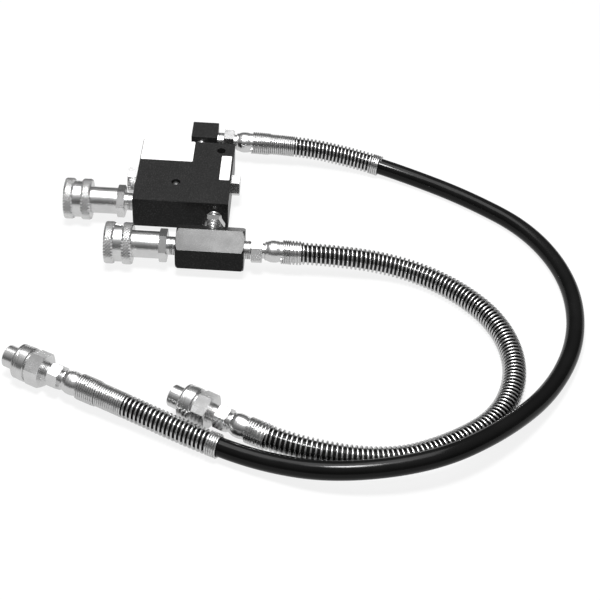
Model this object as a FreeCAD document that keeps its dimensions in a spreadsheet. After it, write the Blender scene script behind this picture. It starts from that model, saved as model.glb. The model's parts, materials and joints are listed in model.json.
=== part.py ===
"""Counterbalance valve with its tee bar, two screw couplers and two hoses.

A steel block carries the valve cartridge across it.  One line runs from coupler A through the
block and the elbow block into the outer hose.  The other runs from coupler B straight through
the tee bar into the inner hose, and a nipple takes its pressure to the pilot piston.

Frame: +X to the right along the cartridge, +Y to the back, +Z up.  The origin lies on the surface
that the assembly rests on, under the middle of the valve group (everything but the hoses).
"""

import FreeCAD, Part
import math
import os

import Sketcher
from FreeCAD import Placement, Rotation, Vector

SIZES = {
    # valve block
    "valve_x": 23.125,
    "valve_y": 12.575,
    "block_width": 88.9,
    "block_depth": 95.25,
    "block_height": 31.75,
    "block_edge": 0.5,
    "mount_hole_bore": 8.4,
    "mount_hole_x": 31.75,
    "mount_hole_y": 34.9,
    "drill_plug_x": -6.7,
    "drill_plug_y": -18.3,
    "drill_plug_ball": 8.4,
    "drill_plug_sink": 0.6,
    # cartridge bore, from the left face to the right face
    "bore_y": 2.2,
    "cap_bore": 20.0,
    "valve_chamber_bore": 12.0,
    "valve_chamber_length": 8.25,
    "check_bore": 14.0,
    "check_bore_depth": 46.15,
    "plug_bore": 16.0,
    "plug_bore_depth": 10.0,
    # spring cap and adjuster
    "cap_hex": 22.2,
    "cap_head": 9.5,
    "cap_end_gap": 0.5,
    "cap_cavity_bore": 14.6,
    "cap_end_wall": 9.0,
    "adjuster_thread": 8.0,
    "adjuster_length": 13.4,
    "adjuster_recess": 0.6,
    "adjuster_socket": 4.0,
    "adjuster_socket_depth": 4.0,
    # spring, spring seat and poppet
    "spring_seat_disc": 13.6,
    "spring_seat_thickness": 3.0,
    "spring_guide": 8.2,
    "spring_guide_length": 3.0,
    "load_spring_wire": 2.2,
    "load_spring_diameter": 13.4,
    "load_spring_turns": 4.5,
    "poppet_flange_thickness": 3.5,
    "poppet_stem": 9.2,
    "poppet_stem_length": 5.5,
    "poppet_head": 10.0,
    "poppet_head_length": 5.0,
    "poppet_cone": 2.0,
    "poppet_tip": 6.0,
    "poppet_nose": 5.0,
    "poppet_nose_length": 3.9,
    "poppet_face_gap": 0.1,
    # check seat and its spring
    "check_seat_bore": 7.5,
    "check_seat_length": 9.6,
    "check_spring_wire": 1.3,
    "check_spring_diameter": 13.2,
    "check_spring_turns": 2.5,
    "check_spring_room": 8.0,
    # pilot guide and piston
    "guide_wall": 2.9,
    "guide_bore": 10.0,
    "guide_length": 19.5,
    "pilot_port_x": 31.6,
    "pilot_drill": 4.0,
    "piston_pin": 4.9,
    "piston_pin_length": 19.5,
    "piston_head_length": 6.5,
    # end plug
    "plug_hex": 17.46,
    "plug_head": 7.8,
    "plug_shank": 8.8,
    # seals are square rings, each in a groove of this width
    "seal_width": 2.2,
    "seal_depth": 1.5,
    # threaded joints
    "line_thread": 16.4,
    "line_bore": 9.5,
    "line_engaged": 12.0,
    "pilot_thread": 13.7,
    "pilot_engaged": 10.0,
    "port_extra_depth": 3.0,
    "thread_gap": 0.05,
    "running_gap": 0.05,
    "seat_gap": 0.1,
    "hex_chamfer": 0.9,
    # pilot nipple and tee bar
    "pilot_nipple_hex": 19.05,
    "pilot_nipple_hex_length": 7.0,
    "pilot_nipple_back": 9.0,
    "pilot_nipple_front": 11.0,
    "pilot_nipple_bore": 4.5,
    "tee_hex": 36.5,
    "tee_length": 61.5,
    "tee_left_x": 1.2,
    "tee_chamfer": 2.2,
    "tee_bore": 9.5,
    # rear nipple and elbow block
    "rear_port_x": 10.5,
    "rear_gap": 13.0,
    "elbow_size": 25.4,
    "elbow_offset": 2.6,
    "elbow_front_engaged": 8.0,
    "elbow_side_engaged": 6.5,
    "elbow_side_bore": 8.5,
    # couplers on the valve
    "coupler_a_y": -31.7,
    "coupler_gap": 8.3,
    "coupler_hex": 26.5,
    "coupler_hex_length": 7.0,
    "coupler_hex_roll": 12.0,
    "coupler_body": 24.6,
    "coupler_body_length": 24.2,
    "coupler_nose": 13.8,
    "sleeve_diameter": 35.6,
    "sleeve_length": 25.0,
    "sleeve_band_back": 8.9,
    "sleeve_groove": 7.4,
    "sleeve_groove_diameter": 33.8,
    "sleeve_thread": 30.4,
    "ring_from_shoulder": 6.8,
    "ring_wire": 1.4,
    "socket_bore": 19.2,
    "socket_depth": 13.0,
    "socket_land": 1.6,
    "socket_seat_bore": 12.0,
    "socket_chamber": 18.0,
    "socket_chamber_length": 16.4,
    "socket_seal_back": 4.0,
    "poppet_a_head": 15.0,
    "poppet_a_head_length": 3.0,
    "poppet_a_cone": 2.0,
    "poppet_a_tip": 11.0,
    "poppet_a_stem": 5.0,
    "poppet_a_stem_length": 9.0,
    "poppet_a_tail_length": 6.0,
    "coupler_spring_wire": 1.2,
    "coupler_spring_diameter": 13.0,
    "coupler_spring_turns": 3.5,
    # couplers at the far ends of the hoses
    "far_hex": 27.0,
    "far_hex_length": 12.7,
    "far_hex_roll": 0.0,
    "far_groove": 1.4,
    "far_groove_diameter": 26.0,
    "far_collar": 29.8,
    "far_collar_band": 6.4,
    "far_collar_thread": 6.0,
    "far_collar_thread_diameter": 28.8,
    "far_nose": 18.8,
    "far_nose_length": 11.7,
    "far_chamber": 15.2,
    "far_chamber_length": 19.0,
    "far_nose_bore": 11.2,
    "poppet_b_head": 14.4,
    "poppet_b_head_length": 3.2,
    "poppet_b_cone": 2.4,
    "poppet_b_tip": 9.6,
    "poppet_b_stem": 5.2,
    "poppet_b_tail_length": 8.0,
    # hose ends
    "hose_engaged": 10.0,
    "hose_thread_gap": 6.3,
    "near_hex": 20.64,
    "hose_far_hex": 19.05,
    "hose_hex_length": 9.8,
    "hose_hex_roll": 12.0,
    "hose_neck": 14.0,
    "hose_neck_length": 7.9,
    "hose_stem_bore": 6.4,
    "shell_gap": 2.4,
    "shell_collar": 17.2,
    "shell_collar_length": 1.6,
    "shell_bulb": 20.0,
    "shell_tail": 18.4,
    "shell_length": 33.0,
    "shell_wall_gap": 0.15,
    # hoses and their spring guards
    "hose_diameter": 16.0,
    "guard_diameter": 20.4,
    "guard_bore": 16.6,
    "guard_collar": 22.0,
    "guard_collar_bore": 18.8,
    "guard_collar_length": 18.0,
    "guard_wire": 1.9,
    "guard_skin": 0.6,
    "outer_guard_pitch": 3.75,
    "inner_guard_pitch": 4.0,
    "outer_guard_shell_coils": 42.0,
    "outer_guard_free_coils": 9.0,
    "inner_guard_shell_coils": 10.0,
    "guard_start": 34.0,
    # far couplers: where each one's hex end face lies, and which way the hose leaves it
    "outer_far_x": -66.8,
    "outer_far_y": -244.0,
    "outer_far_turn": -25.5,
    "inner_far_x": 72.8,
    "inner_far_y": -280.3,
    "inner_far_turn": -27.7,
}

# Routes of the two hoses between their straight ends, in millimetres.  Each list holds the
# corners of the line; the first and last corners lie on the axes of the fittings.
OUTER_FIRST_RUN = 54.0
OUTER_LAST_RUN = 48.0
OUTER_CORNERS = [
    (186, 81, 12.8),
    (235, 65.5, 8),
    (294, 33, 8),
    (352, -13, 8),
    (383, -82, 8),
    (382.5, -157.5, 8),
    (353.5, -228, 10.5),
    (305, -288.5, 22.3),
    (248, -328, 24.7),
    (172, -339.5, 18.4),
    (111, -323.5, 9.6),
    (53, -300, 11.2),
]
OUTER_NEAR_GUARD_RUN = 2
OUTER_FAR_GUARD_RUN = 12
INNER_FIRST_RUN = 56.0
INNER_LAST_RUN = 44.0
INNER_CORNERS = [
    (228, -79.5, 12),
    (278, -106, 10.3),
    (314, -149, 10.3),
    (326, -205, 10.3),
    (309, -260.5, 10.3),
    (267, -295.5, 10.3),
    (213, -319, 10.3),
]
BEND_SHARE = 0.45
ARCS_PER_TURN = 4
COIL_END = 0.56
CLOSED_DEPTH = 0.35
TOUCH = 1e-6

doc = FreeCAD.newDocument("CounterbalanceValve")


class Size:
    """A length that knows its value and the sheet formula that gives it."""

    def __init__(self, value, text):
        self.value = value
        self.text = text

    def _with(self, other, sign, value, swap=False):
        other_text = other.text if isinstance(other, Size) else repr(other)
        left, right = (other_text, self.text) if swap else (self.text, other_text)
        return Size(value, "(%s %s %s)" % (left, sign, right))

    def __add__(self, other):
        return self._with(other, "+", self.value + number(other))

    def __radd__(self, other):
        return self._with(other, "+", number(other) + self.value, swap=True)

    def __sub__(self, other):
        return self._with(other, "-", self.value - number(other))

    def __rsub__(self, other):
        return self._with(other, "-", number(other) - self.value, swap=True)

    def __mul__(self, other):
        return self._with(other, "*", self.value * number(other))

    def __rmul__(self, other):
        return self._with(other, "*", number(other) * self.value, swap=True)

    def __truediv__(self, other):
        return self._with(other, "/", self.value / number(other))

    def __neg__(self):
        return Size(-self.value, "(0 - %s)" % self.text)


def number(value):
    """The plain number of a size or of a number."""
    return value.value if isinstance(value, Size) else float(value)


def sized(value):
    """A size, also from a bare number."""
    return value if isinstance(value, Size) else Size(float(value), repr(float(value)))


class Sheet:
    """The spreadsheet of driving dimensions, read by name."""

    def __init__(self, sizes):
        self.cells = doc.addObject("Spreadsheet::Sheet", "Sizes")
        self.known = dict(sizes)
        for row, (name, value) in enumerate(sizes.items(), start=1):
            self.cells.set("A%d" % row, name)
            self.cells.set("B%d" % row, str(value))
            self.cells.setAlias("B%d" % row, name)
        doc.recompute()

    def __getattr__(self, name):
        return Size(float(self.known[name]), "Sizes." + name)


d = Sheet(SIZES)

pieces = {}


def keep(name, obj):
    """Give a finished sub-part its label and list it for writing."""
    obj.Label = name
    pieces[name] = obj
    return obj


def place(obj, x=0.0, y=0.0, z=0.0, turn=0.0):
    """Put a sub-part at a point, turned about the vertical."""
    turn = sized(turn)
    obj.Placement = Placement(
        Vector(number(x), number(y), number(z)), Rotation(Vector(0, 0, 1), turn.value)
    )
    for axis, value in (("x", x), ("y", y), ("z", z)):
        obj.setExpression("Placement.Base." + axis, sized(value).text)
    if turn.value:
        obj.setExpression("Placement.Rotation.Angle", turn.text + " * 1 deg")


def plane(body, role):
    """One of a body's own origin planes."""
    return next(f for f in body.Origin.OriginFeatures if f.Role == role)


def polygon(body, name, role, points, offset=None, lift=0.0):
    """A closed sketch of straight edges whose corners are bound to the sheet.

    offset shifts the sketch inside its plane along the second axis, lift moves it along the
    plane's normal.
    """
    sketch = body.newObject("Sketcher::SketchObject", name)
    sketch.AttachmentSupport = [(plane(body, role), "")]
    sketch.MapMode = "FlatFace"
    sketch.AttachmentOffset = Placement(Vector(0, number(offset or 0), number(lift)), Rotation())
    if offset is not None:
        sketch.setExpression("AttachmentOffset.Base.y", sized(offset).text)
    sketch.setExpression("AttachmentOffset.Base.z", sized(lift).text)
    flat = [Vector(number(u), number(v), 0) for u, v in points]
    for i, start in enumerate(flat):
        sketch.addGeometry(Part.LineSegment(start, flat[(i + 1) % len(flat)]))
    for i in range(len(flat)):
        sketch.addConstraint(
            Sketcher.Constraint("Coincident", i, 2, (i + 1) % len(flat), 1)
        )
    for i, (u, v) in enumerate(points):
        for kind, value, axis in (("DistanceX", u, -2), ("DistanceY", v, -1)):
            if not isinstance(value, Size) and value == 0:
                sketch.addConstraint(Sketcher.Constraint("PointOnObject", i, 1, axis))
                continue
            index = sketch.addConstraint(
                Sketcher.Constraint(kind, -1, 1, i, 1, number(value))
            )
            label = "%s%d" % (kind, i)
            sketch.renameConstraint(index, label)
            sketch.setExpression("Constraints." + label, sized(value).text)
    return sketch


def turned(name, profile):
    """A body turned about its own X axis; the profile holds (along the axis, radius)."""
    body = doc.addObject("PartDesign::Body", name)
    sketch = polygon(body, name + "_outline", "XZ_Plane", profile)
    turn = body.newObject("PartDesign::Revolution", name + "_turned")
    turn.Profile = sketch
    turn.ReferenceAxis = (sketch, ["H_Axis"])
    turn.Angle = 360
    doc.recompute()
    return body


def groove(body, name, profile, lift=0.0):
    """A turned cut; the profile holds (along the axis, radius)."""
    sketch = polygon(body, name + "_outline", "XZ_Plane", profile, lift=lift)
    cut = body.newObject("PartDesign::Groove", name)
    cut.Profile = sketch
    cut.ReferenceAxis = (sketch, ["H_Axis"])
    cut.Angle = 360
    doc.recompute()
    return cut


def hexagon(across_flats, roll):
    """Corners of a hexagon in the YZ plane, turned by roll degrees."""
    corner = across_flats / math.sqrt(3)
    corners = []
    for k in range(6):
        angle = roll.value + 60 * k
        text = "((%s + %d) * 1 deg)" % (roll.text, 60 * k)
        corners.append(
            (
                Size(corner.value * math.cos(math.radians(angle)), "(%s * cos%s)" % (corner.text, text)),
                Size(corner.value * math.sin(math.radians(angle)), "(%s * sin%s)" % (corner.text, text)),
            )
        )
    return corners


def corner_radius(across_flats):
    """Half the size of a hexagon across its corners."""
    return across_flats / math.sqrt(3)


def mill_hexagon(body, name, across_flats, roll, start, length):
    """Mill a turned blank to a hexagon over one length of its axis."""
    sketch = body.newObject("Sketcher::SketchObject", name + "_flats")
    sketch.AttachmentSupport = [(plane(body, "YZ_Plane"), "")]
    sketch.MapMode = "FlatFace"
    sketch.AttachmentOffset = Placement(Vector(0, 0, number(start)), Rotation())
    sketch.setExpression("AttachmentOffset.Base.z", sized(start).text)
    corners = hexagon(across_flats, sized(roll))
    flat = [Vector(u.value, v.value, 0) for u, v in corners]
    for i, first in enumerate(flat):
        sketch.addGeometry(Part.LineSegment(first, flat[(i + 1) % 6]))
    for i in range(6):
        sketch.addConstraint(Sketcher.Constraint("Coincident", i, 2, (i + 1) % 6, 1))
    for i, pair in enumerate(corners):
        for kind, value in zip(("DistanceX", "DistanceY"), pair):
            index = sketch.addConstraint(Sketcher.Constraint(kind, -1, 1, i, 1, value.value))
            sketch.renameConstraint(index, "%s%d" % (kind, i))
            sketch.setExpression("Constraints.%s%d" % (kind, i), value.text)
    rim = sketch.addGeometry(Part.Circle(Vector(0, 0, 0), Vector(0, 0, 1), across_flats.value))
    sketch.addConstraint(Sketcher.Constraint("Coincident", rim, 3, -1, 1))
    index = sketch.addConstraint(Sketcher.Constraint("Radius", rim, across_flats.value))
    sketch.renameConstraint(index, "Rim")
    sketch.setExpression("Constraints.Rim", across_flats.text)
    cut = body.newObject("PartDesign::Pocket", name)
    cut.Profile = sketch
    cut.Length = number(length)
    cut.setExpression("Length", sized(length).text)
    cut.Reversed = True
    doc.recompute()
    return cut


def drill(body, name, diameter, depth, x=0.0, y=0.0, z=0.0, along="-Z"):
    """A round hole from a point in the body, along one of its axes."""
    cut = body.newObject("PartDesign::SubtractiveCylinder", name)
    ways = {
        "+X": Rotation(Vector(0, 1, 0), 90),
        "-X": Rotation(Vector(0, 1, 0), -90),
        "+Y": Rotation(Vector(1, 0, 0), -90),
        "-Y": Rotation(Vector(1, 0, 0), 90),
        "-Z": Rotation(Vector(1, 0, 0), 180),
    }
    cut.Placement = Placement(Vector(number(x), number(y), number(z)), ways[along])
    for axis, value in (("x", x), ("y", y), ("z", z)):
        cut.setExpression("Placement.Base." + axis, sized(value).text)
    cut.Radius = number(diameter) / 2
    cut.setExpression("Radius", (sized(diameter) / 2).text)
    cut.Height = number(depth)
    cut.setExpression("Height", sized(depth).text)
    doc.recompute()
    return cut


def box_body(name, width, depth, height):
    """A body padded from a centred rectangle, its middle at the body's origin."""
    body = doc.addObject("PartDesign::Body", name)
    half_x, half_y = width / 2, depth / 2
    corners = [(-half_x, -half_y), (half_x, -half_y), (half_x, half_y), (-half_x, half_y)]
    sketch = polygon(body, name + "_plan", "XY_Plane", corners)
    pad = body.newObject("PartDesign::Pad", name + "_block")
    pad.Profile = sketch
    pad.Midplane = True
    pad.Length = number(height)
    pad.setExpression("Length", height.text)
    doc.recompute()
    return body, pad


def soften_edges(body, feature, name, size):
    """Break the outside edges of a plain block."""
    chamfer = body.newObject("PartDesign::Chamfer", name)
    chamfer.Base = (feature, ["Edge%d" % (i + 1) for i in range(len(feature.Shape.Edges))])
    chamfer.Size = number(size)
    chamfer.setExpression("Size", size.text)
    doc.recompute()
    return chamfer


def ring(name, inner, outer, start, width):
    """A plain ring about the X axis, given by its two radii."""
    return turned(
        name,
        [(start, inner), (start, outer), (start + width, outer), (start + width, inner)],
    )


def arc_at(corner, into, out, reach):
    """First, middle and last point of the arc that rounds a corner and starts reach before it."""
    half_turn = into.getAngle(out) / 2
    radius = reach / math.tan(half_turn)
    inward = (out - into).normalize()
    middle = corner + inward * (radius / math.cos(half_turn) - radius)
    return corner - into * reach, middle, corner + out * reach


def flat_sided(radius, point, heading):
    """A hexagon across a line, with the area of a circle of the given radius."""
    reach = radius * math.sqrt(math.pi / (3 * math.sin(math.pi / 3)))
    side = Vector(1, 0, 0).cross(heading).normalize() * reach
    turns = [Rotation(heading, 60 * k) for k in range(7)]
    return Part.makePolygon([point + turn.multVec(side) for turn in turns])


def rod(line, radius, flats=False):
    """A round or six-sided solid along a line, checked against its section times its length."""
    start = line.Edges[0]
    point = start.valueAt(start.FirstParameter)
    heading = start.tangentAt(start.FirstParameter)
    if flats:
        section = flat_sided(radius, point, heading)
    else:
        section = Part.Wire(Part.makeCircle(radius, point, heading))
    solid = line.makePipeShell([section], True, False)
    expected = math.pi * radius ** 2 * line.Length
    if abs(solid.Volume - expected) > 0.002 * expected:
        raise RuntimeError("pipe volume %.0f, expected %.0f" % (solid.Volume, expected))
    return solid


def coil(name, start, end, diameter, wire, turns):
    """A compression spring of six-sided wire along its own X axis, between two faces."""
    step = 2 * math.pi / ARCS_PER_TURN
    count = round(turns.value * ARCS_PER_TURN)
    corner_reach = (diameter - wire).value / 2 / math.cos(step / 2)
    rise = (end - start - wire * 2 * COIL_END).value / (count + 1)
    first = (start + wire * COIL_END).value + rise / 2
    corners = [
        Vector(first + rise * i, corner_reach * math.sin(step * i), corner_reach * math.cos(step * i))
        for i in range(-1, count + 1)
    ]
    arcs = []
    for before, corner, after in zip(corners, corners[1:], corners[2:]):
        into, out = corner - before, after - corner
        half_edge = into.Length / 2
        points = arc_at(corner, into.normalize(), out.normalize(), half_edge)
        arcs.append(Part.Arc(*points).toShape())
    spring = doc.addObject("Part::Feature", name)
    spring.Shape = rod(Part.Wire(arcs), wire.value / 2, flats=True)
    return spring


# Heights and faces that several sub-parts share.
AXIS_Z = corner_radius(d.tee_hex)
FAR_Z = corner_radius(d.far_hex)
VALVE_CHAMBER = d.block_width - d.check_bore_depth - d.valve_chamber_length
CAP_SHANK = VALVE_CHAMBER - d.cap_end_gap
LEFT_FACE = d.valve_x - d.block_width / 2
RIGHT_FACE = d.valve_x + d.block_width / 2
FRONT_FACE = d.valve_y - d.block_depth / 2
BACK_FACE = d.valve_y + d.block_depth / 2
BORE_Y = d.valve_y + d.bore_y
PORT_BORE = d.line_thread + 2 * d.thread_gap
PORT_DEPTH = d.line_engaged + d.port_extra_depth
PILOT_BORE = d.pilot_thread + 2 * d.thread_gap
PILOT_DEPTH = d.pilot_engaged + d.port_extra_depth
NIPPLE_REACH = d.pilot_nipple_back + d.pilot_nipple_hex_length + d.pilot_nipple_front
TEE_Y = FRONT_FACE - NIPPLE_REACH - d.tee_hex / 2
TEE_LEFT = d.valve_x + d.tee_left_x
TEE_RIGHT = TEE_LEFT + d.tee_length
PILOT_X = d.valve_x + d.pilot_port_x
REAR_PORT_X = d.valve_x + d.rear_port_x
ELBOW_X = REAR_PORT_X + d.elbow_offset
ELBOW_Y = BACK_FACE + d.rear_gap + d.elbow_size / 2
ELBOW_RIGHT = ELBOW_X + d.elbow_size / 2
COUPLER_A_Y = d.valve_y + d.coupler_a_y


def valve_body():
    """The block with its mounting hole, stepped cartridge bore, ports and drillings."""
    body, pad = box_body("valve_body", d.block_width, d.block_depth, d.block_height)
    soften_edges(body, pad, "block_edges", d.block_edge)
    half = d.block_width / 2
    check_end = half - d.plug_bore_depth
    groove(
        body,
        "cartridge_bore",
        [
            (-half - 1, 0),
            (-half - 1, d.cap_bore / 2),
            (-half + VALVE_CHAMBER, d.cap_bore / 2),
            (-half + VALVE_CHAMBER, d.valve_chamber_bore / 2),
            (half - d.check_bore_depth, d.valve_chamber_bore / 2),
            (half - d.check_bore_depth, d.check_bore / 2),
            (check_end, d.check_bore / 2),
            (check_end, d.plug_bore / 2),
            (half + 1, d.plug_bore / 2),
            (half + 1, 0),
        ],
        lift=-d.bore_y,
    )
    drill(
        body, "mount_hole", d.mount_hole_bore, d.block_height + 2,
        d.mount_hole_x, d.mount_hole_y, d.block_height / 2 + 1,
    )
    drill(
        body, "plugged_hole", d.drill_plug_ball, d.block_height / 2,
        d.drill_plug_x, d.drill_plug_y, d.block_height / 2,
    )
    drill(body, "port_a", PORT_BORE, PORT_DEPTH, -half, d.coupler_a_y, 0, "+X")
    drill(
        body, "port_a_line", d.line_bore, half + d.drill_plug_x, -half, d.coupler_a_y, 0, "+X"
    )
    drill(
        body, "port_a_cross_line", d.line_bore, d.bore_y - d.coupler_a_y,
        d.drill_plug_x, d.coupler_a_y, 0, "+Y",
    )
    back = d.block_depth / 2
    drill(body, "port_c", PORT_BORE, PORT_DEPTH, d.rear_port_x, back, 0, "-Y")
    drill(body, "port_c_line", d.line_bore, back - d.bore_y, d.rear_port_x, back, 0, "-Y")
    drill(body, "pilot_port", PILOT_BORE, PILOT_DEPTH, d.pilot_port_x, -back, 0, "+Y")
    drill(body, "pilot_line", d.pilot_drill, back + d.bore_y, d.pilot_port_x, -back, 0, "+Y")
    place(body, d.valve_x, d.valve_y, AXIS_Z)
    keep("valve_body", body)


def drill_plug():
    """Steel ball pressed into the cross drilling from the top."""
    ball = doc.addObject("Part::Sphere", "drill_plug")
    radius = d.drill_plug_ball / 2 - d.thread_gap
    ball.Radius = radius.value
    ball.setExpression("Radius", radius.text)
    top = AXIS_Z + d.block_height / 2 - d.drill_plug_sink
    place(ball, d.valve_x + d.drill_plug_x, d.valve_y + d.drill_plug_y, top - radius)
    keep("drill_plug", ball)


def spring_cap():
    """Hex cap that screws in from the left and houses the load spring."""
    shank = d.cap_bore / 2 - d.thread_gap
    corner = corner_radius(d.cap_hex)
    bore = d.adjuster_thread / 2 + d.thread_gap
    seal_start = CAP_SHANK - 3 - d.seal_width
    body = turned(
        "spring_cap",
        [
            (-d.cap_head, bore),
            (-d.cap_head, corner - d.hex_chamfer),
            (-d.cap_head + d.hex_chamfer / 2, corner),
            (0, corner),
            (0, shank),
            (seal_start, shank),
            (seal_start, shank - d.seal_depth),
            (seal_start + d.seal_width, shank - d.seal_depth),
            (seal_start + d.seal_width, shank),
            (CAP_SHANK, shank),
            (CAP_SHANK, d.cap_cavity_bore / 2),
            (-d.cap_head + d.cap_end_wall, d.cap_cavity_bore / 2),
            (-d.cap_head + d.cap_end_wall, bore),
        ],
    )
    mill_hexagon(body, "cap_flats", d.cap_hex, sized(12), -d.cap_head, d.cap_head)
    place(body, LEFT_FACE, BORE_Y, AXIS_Z)
    keep("spring_cap", body)
    seal = ring(
        "cap_seal",
        shank - d.seal_depth + d.seat_gap / 2,
        d.cap_bore / 2 - d.seat_gap / 4,
        seal_start + d.seat_gap,
        d.seal_width - 2 * d.seat_gap,
    )
    place(seal, LEFT_FACE, BORE_Y, AXIS_Z)
    keep("cap_seal", seal)


ADJUSTER_START = -d.cap_head + d.adjuster_recess
ADJUSTER_END = ADJUSTER_START + d.adjuster_length
SPRING_SEAT_START = ADJUSTER_END + d.seat_gap
SPRING_SEAT_FACE = SPRING_SEAT_START + d.spring_seat_thickness
CHECK_FACE = d.block_width - d.check_bore_depth + d.seat_gap
CONE_AT_SEAT = (d.poppet_head - d.check_seat_bore) * d.poppet_cone / (d.poppet_head - d.poppet_tip)
POPPET_HEAD_END = CHECK_FACE - CONE_AT_SEAT - d.poppet_face_gap
POPPET_HEAD_START = POPPET_HEAD_END - d.poppet_head_length
POPPET_FLANGE_END = POPPET_HEAD_START - d.poppet_stem_length
POPPET_FACE = POPPET_FLANGE_END - d.poppet_flange_thickness
POPPET_TIP = POPPET_HEAD_END + d.poppet_cone
POPPET_END = POPPET_TIP + d.poppet_nose_length
CHECK_END = CHECK_FACE + d.check_seat_length
GUIDE_START = CHECK_END + d.check_spring_room
PIN_START = POPPET_END + d.seat_gap
HEAD_START = PIN_START + d.piston_pin_length
HEAD_END = HEAD_START + d.piston_head_length


def adjuster():
    """Socket set screw that loads the spring."""
    radius = d.adjuster_thread / 2
    body = turned(
        "adjusting_screw",
        [
            (ADJUSTER_START, 0),
            (ADJUSTER_START, radius - 0.5),
            (ADJUSTER_START + 0.5, radius),
            (ADJUSTER_END - 1, radius),
            (ADJUSTER_END, radius - 1),
            (ADJUSTER_END, 0),
        ],
    )
    sketch = polygon(
        body, "socket_outline", "YZ_Plane", hexagon(d.adjuster_socket, sized(30)),
        lift=ADJUSTER_START,
    )
    socket = body.newObject("PartDesign::Pocket", "hex_socket")
    socket.Profile = sketch
    socket.Length = number(d.adjuster_socket_depth)
    socket.setExpression("Length", d.adjuster_socket_depth.text)
    socket.Reversed = True
    doc.recompute()
    place(body, LEFT_FACE, BORE_Y, AXIS_Z)
    keep("adjusting_screw", body)


def spring_seat():
    """Disc between the adjusting screw and the load spring."""
    body = turned(
        "spring_seat",
        [
            (SPRING_SEAT_START, 0),
            (SPRING_SEAT_START, d.spring_seat_disc / 2),
            (SPRING_SEAT_FACE, d.spring_seat_disc / 2),
            (SPRING_SEAT_FACE, d.spring_guide / 2),
            (SPRING_SEAT_FACE + d.spring_guide_length, d.spring_guide / 2),
            (SPRING_SEAT_FACE + d.spring_guide_length, 0),
        ],
    )
    place(body, LEFT_FACE, BORE_Y, AXIS_Z)
    keep("spring_seat", body)


def load_spring():
    """Heavy spring that holds the poppet shut."""
    start = SPRING_SEAT_FACE + d.seat_gap
    spring = coil(
        "load_spring", start, POPPET_FACE - d.seat_gap, d.load_spring_diameter,
        d.load_spring_wire, d.load_spring_turns,
    )
    place(spring, LEFT_FACE, BORE_Y, AXIS_Z)
    keep("load_spring", spring)


def main_poppet():
    """Counterbalance poppet: flange, stem, head with cone and nose."""
    flange = d.cap_cavity_bore / 2 - d.running_gap
    body = turned(
        "main_poppet",
        [
            (POPPET_FACE - d.spring_guide_length, 0),
            (POPPET_FACE - d.spring_guide_length, d.spring_guide / 2),
            (POPPET_FACE, d.spring_guide / 2),
            (POPPET_FACE, flange),
            (POPPET_FLANGE_END, flange),
            (POPPET_FLANGE_END, d.poppet_stem / 2),
            (POPPET_HEAD_START, d.poppet_stem / 2),
            (POPPET_HEAD_START, d.poppet_head / 2),
            (POPPET_HEAD_END, d.poppet_head / 2),
            (POPPET_TIP, d.poppet_tip / 2),
            (POPPET_TIP, d.poppet_nose / 2),
            (POPPET_END, d.poppet_nose / 2),
            (POPPET_END, 0),
        ],
    )
    place(body, LEFT_FACE, BORE_Y, AXIS_Z)
    keep("main_poppet", body)


def check_seat():
    """Floating seat that lifts to let oil pass freely towards the load."""
    outer = d.check_bore / 2 - d.running_gap
    body = turned(
        "check_seat",
        [
            (CHECK_FACE, d.check_seat_bore / 2),
            (CHECK_FACE, outer),
            (CHECK_END, outer),
            (CHECK_END, d.check_seat_bore / 2),
        ],
    )
    place(body, LEFT_FACE, BORE_Y, AXIS_Z)
    keep("check_seat", body)
    start = CHECK_END + d.seat_gap
    spring = coil(
        "check_spring", start, GUIDE_START - d.seat_gap, d.check_spring_diameter,
        d.check_spring_wire, d.check_spring_turns,
    )
    place(spring, LEFT_FACE, BORE_Y, AXIS_Z)
    keep("check_spring", spring)


def pilot_guide():
    """Sleeve that guides the pilot piston, with a cross hole for the pilot line."""
    outer = d.check_bore / 2 - d.thread_gap
    pin = d.piston_pin / 2 + d.running_gap
    end = GUIDE_START + d.guide_length
    body = turned(
        "pilot_guide",
        [
            (GUIDE_START, pin),
            (GUIDE_START, outer),
            (end, outer),
            (end, d.guide_bore / 2),
            (GUIDE_START + d.guide_wall, d.guide_bore / 2),
            (GUIDE_START + d.guide_wall, pin),
        ],
    )
    drill(
        body, "pilot_hole", d.pilot_drill, d.check_bore / 2,
        d.block_width / 2 + d.pilot_port_x, 0, 0, "-Y",
    )
    place(body, LEFT_FACE, BORE_Y, AXIS_Z)
    keep("pilot_guide", body)


def pilot_piston():
    """Piston and pin that push the poppet open, with its seal."""
    pin = d.piston_pin / 2
    head = d.guide_bore / 2 - d.running_gap
    seal_start = HEAD_START + (d.piston_head_length - d.seal_width) / 2
    floor = head - d.seal_depth
    body = turned(
        "pilot_piston",
        [
            (PIN_START, 0),
            (PIN_START, pin),
            (HEAD_START, pin),
            (HEAD_START, head),
            (seal_start, head),
            (seal_start, floor),
            (seal_start + d.seal_width, floor),
            (seal_start + d.seal_width, head),
            (HEAD_END, head),
            (HEAD_END, 0),
        ],
    )
    place(body, LEFT_FACE, BORE_Y, AXIS_Z)
    keep("pilot_piston", body)
    seal = ring(
        "piston_seal",
        floor + d.seat_gap / 2,
        d.guide_bore / 2 - d.seat_gap / 4,
        seal_start + d.seat_gap,
        d.seal_width - 2 * d.seat_gap,
    )
    place(seal, LEFT_FACE, BORE_Y, AXIS_Z)
    keep("piston_seal", seal)


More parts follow.
